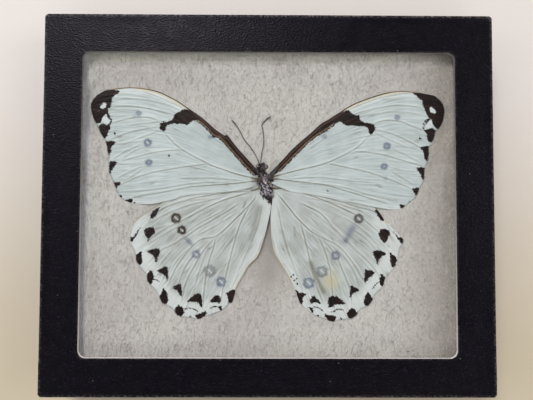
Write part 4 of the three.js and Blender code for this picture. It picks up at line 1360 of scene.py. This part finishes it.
antennae = {
    "antenna_left": [(-3.5, 14.7), (-4.7, 17.5), (-6.5, 20.3), (-8.6, 22.8), (-9.8, 24.9), (-10.9, 27.0),
                     (-12.1, 28.8), (-13.4, 30.2)],
    "antenna_right": [(-2.9, 15.2), (-2.5, 18.2), (-1.9, 21.0), (-1.8, 24.0), (-2.2, 27.0), (-2.5, 28.3),
                      (-1.7, 29.6), (-0.5, 30.8), (0.8, 31.6)],
    "radius": 0.13,
    "club": 0.2,
    "clubLength": 4.5,
    "rings": 44,  # joints of the stalk
}


def makeAntenna(name, finish):
    # a jointed stalk: radius r (1 + 0.12 |sin|) along the path, swelling over the last clubLength
    steps = 240
    _, high = boxOf(name)
    path = curveThrough(antennae[name], steps)
    run = np.linspace(0, 1, steps)
    height = high[2] - 0.3 - 0.25 * (1 - smoothStep(0.0, 0.3, run))
    path = np.column_stack([path, height])
    length = np.linalg.norm(np.diff(path, axis=0), axis=1).sum()
    club = smoothStep(1 - antennae["clubLength"] / length, 1 - 0.25 * antennae["clubLength"] / length, run)
    radius = antennae["radius"] + (antennae["club"] - antennae["radius"]) * club
    radius = radius * (1 + 0.12 * np.abs(np.sin(run * antennae["rings"] * math.pi)))
    radius *= np.sqrt(np.clip((1 - run) / 0.02, 0.04, 1))
    tube = sweep(path[None], radius[None], 10)
    piece = makePiece(name + "_jointed", [(tube[0], tube[1], 0)], [finish])
    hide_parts(name)


room = {
    "lens": 400 / 533 * 36.0,  # a focal length of 400 where the picture is 533 wide and the sensor 36
    "cameraPlace": (-1.43, -3.12, 159.13),
    "cameraTurn": (1.765, -0.292, 0.181),
    "tableHalf": 1500,
    "floorTop": (tone(240, 233, 228), tone(234, 226, 220)),
    # the bottom tones are painted shade, darker and yellower than the top
    "floorBottomShade": (tone(218, 205, 180), tone(210, 196, 170)),
    "air": (0.97, 0.97, 1.0),
    "airStrength": (0.58, 0.07),  # from the sides and from straight above
    "airHeights": (0.66, 0.88),  # the heights of the directions between which it dims
    "lamps": [
        # name, place, size, watts, colour
        ("window light", (-300, 620, 790), 440, 6.0, (1.0, 0.985, 0.96)),
        ("foot light", (60, -760, 480), 400, 0.9, (1.0, 0.97, 0.94)),
        ("right light", (700, 60, 520), 400, 1.2, (1.0, 0.96, 0.92)),
        ("left light", (-700, 40, 560), 400, 0.7, (0.94, 0.96, 1.0)),
    ],
}


def setRoom():
    scene = bpy.context.scene
    camera = bpy.data.objects.new("camera", bpy.data.cameras.new("camera"))
    camera.data.lens = room["lens"]
    camera.data.sensor_width = 36.0
    camera.data.clip_start = 0.005
    camera.location = [v * mm for v in room["cameraPlace"]]
    camera.rotation_euler = [math.radians(v) for v in room["cameraTurn"]]
    bpy.context.collection.objects.link(camera)
    scene.camera = camera
    scene.view_settings.view_transform = "Standard"
    air = bpy.data.worlds.new("air")
    air.use_nodes = True
    sky = air.node_tree
    sky.nodes["Background"].inputs[0].default_value = (*room["air"], 1.0)
    split = sky.nodes.new("ShaderNodeSeparateXYZ")
    sky.links.new(sky.nodes.new("ShaderNodeTexCoord").outputs["Generated"], split.inputs[0])
    dim = sky.nodes.new("ShaderNodeMapRange")
    dim.interpolation_type = "SMOOTHSTEP"
    sky.links.new(split.outputs[2], dim.inputs[0])
    for number, value in enumerate(room["airHeights"] + room["airStrength"]):
        dim.inputs[number + 1].default_value = value
    sky.links.new(dim.outputs[0], sky.nodes["Background"].inputs[1])
    scene.world = air
    for name, place, size, watts, colour in room["lamps"]:
        lamp = bpy.data.objects.new(name, bpy.data.lights.new(name, "AREA"))
        lamp.data.shape = "DISK"
        lamp.data.size = size * mm
        lamp.data.energy = watts
        lamp.data.color = colour
        lamp.location = [v * mm for v in place]
        tilt = math.acos(place[2] / np.linalg.norm(place))
        lamp.rotation_euler = (tilt, 0, math.atan2(place[1], place[0]) + math.pi / 2)
        bpy.context.collection.objects.link(lamp)
    ground = Finish("pale table")
    cloud = ground.noise(60.0, detail=4.0)
    # painted shade: the table is darker and yellower towards the bottom, away from the window light
    upward = ground.node("SeparateXYZ", _0=ground.place).outputs[1]
    top = ground.mix(cloud, *room["floorTop"])
    colour = ground.mix(ground.span(upward, 0.06, -0.07), top, ground.mix(cloud, *room["floorBottomShade"]))
    ground.shade(Base_Color=colour, Roughness=0.7, Normal=ground.bump(ground.noise(0.9), 0.05, 0.3))
    mesh = bpy.data.meshes.new("table_top")
    side, drop = room["tableHalf"] * mm, -0.05 * mm
    corners = [(-side, -side, drop), (side, -side, drop), (side, side, drop), (-side, side, drop)]
    mesh.from_pydata(corners, [], [(0, 1, 2, 3)])
    mesh.materials.append(ground.material)
    table = bpy.data.objects.new("table_top", mesh)
    bpy.context.collection.objects.link(table)


blackPaper = paperFinish()
makeLid(blackPaper)
makeTray(blackPaper)
glazeGlass()
foreFinish = wingFinish("forewing scales", membrane["forewingTone"])
hindFinish = wingFinish("hindwing scales", membrane["hindwingTone"])
veins = veinFinish()
for side in ("left", "right"):
    makeWing("forewing_" + side, [foreFinish, veins])
    makeWing("hindwing_" + side, [hindFinish, veins])
makeBatting()
furs = [
    furFinish("dark fur", body["dark"], 0.45, body["grey"][0]),
    furFinish("grey fur", body["grey"], 0.45),
    furFinish("cream fur", body["cream"], 0.55),
    furFinish("ochre horn", body["ochre"], 0.4),
    eyeFinish(),
]
makeThorax(furs)
makeHead(furs)
makeStub(furs)
stalk = furFinish("antenna stalk", (tone(34, 28, 26), tone(58, 48, 42)), 0.45)
for side in ("left", "right"):
    makeAntenna("antenna_" + side, stalk)
setRoom()
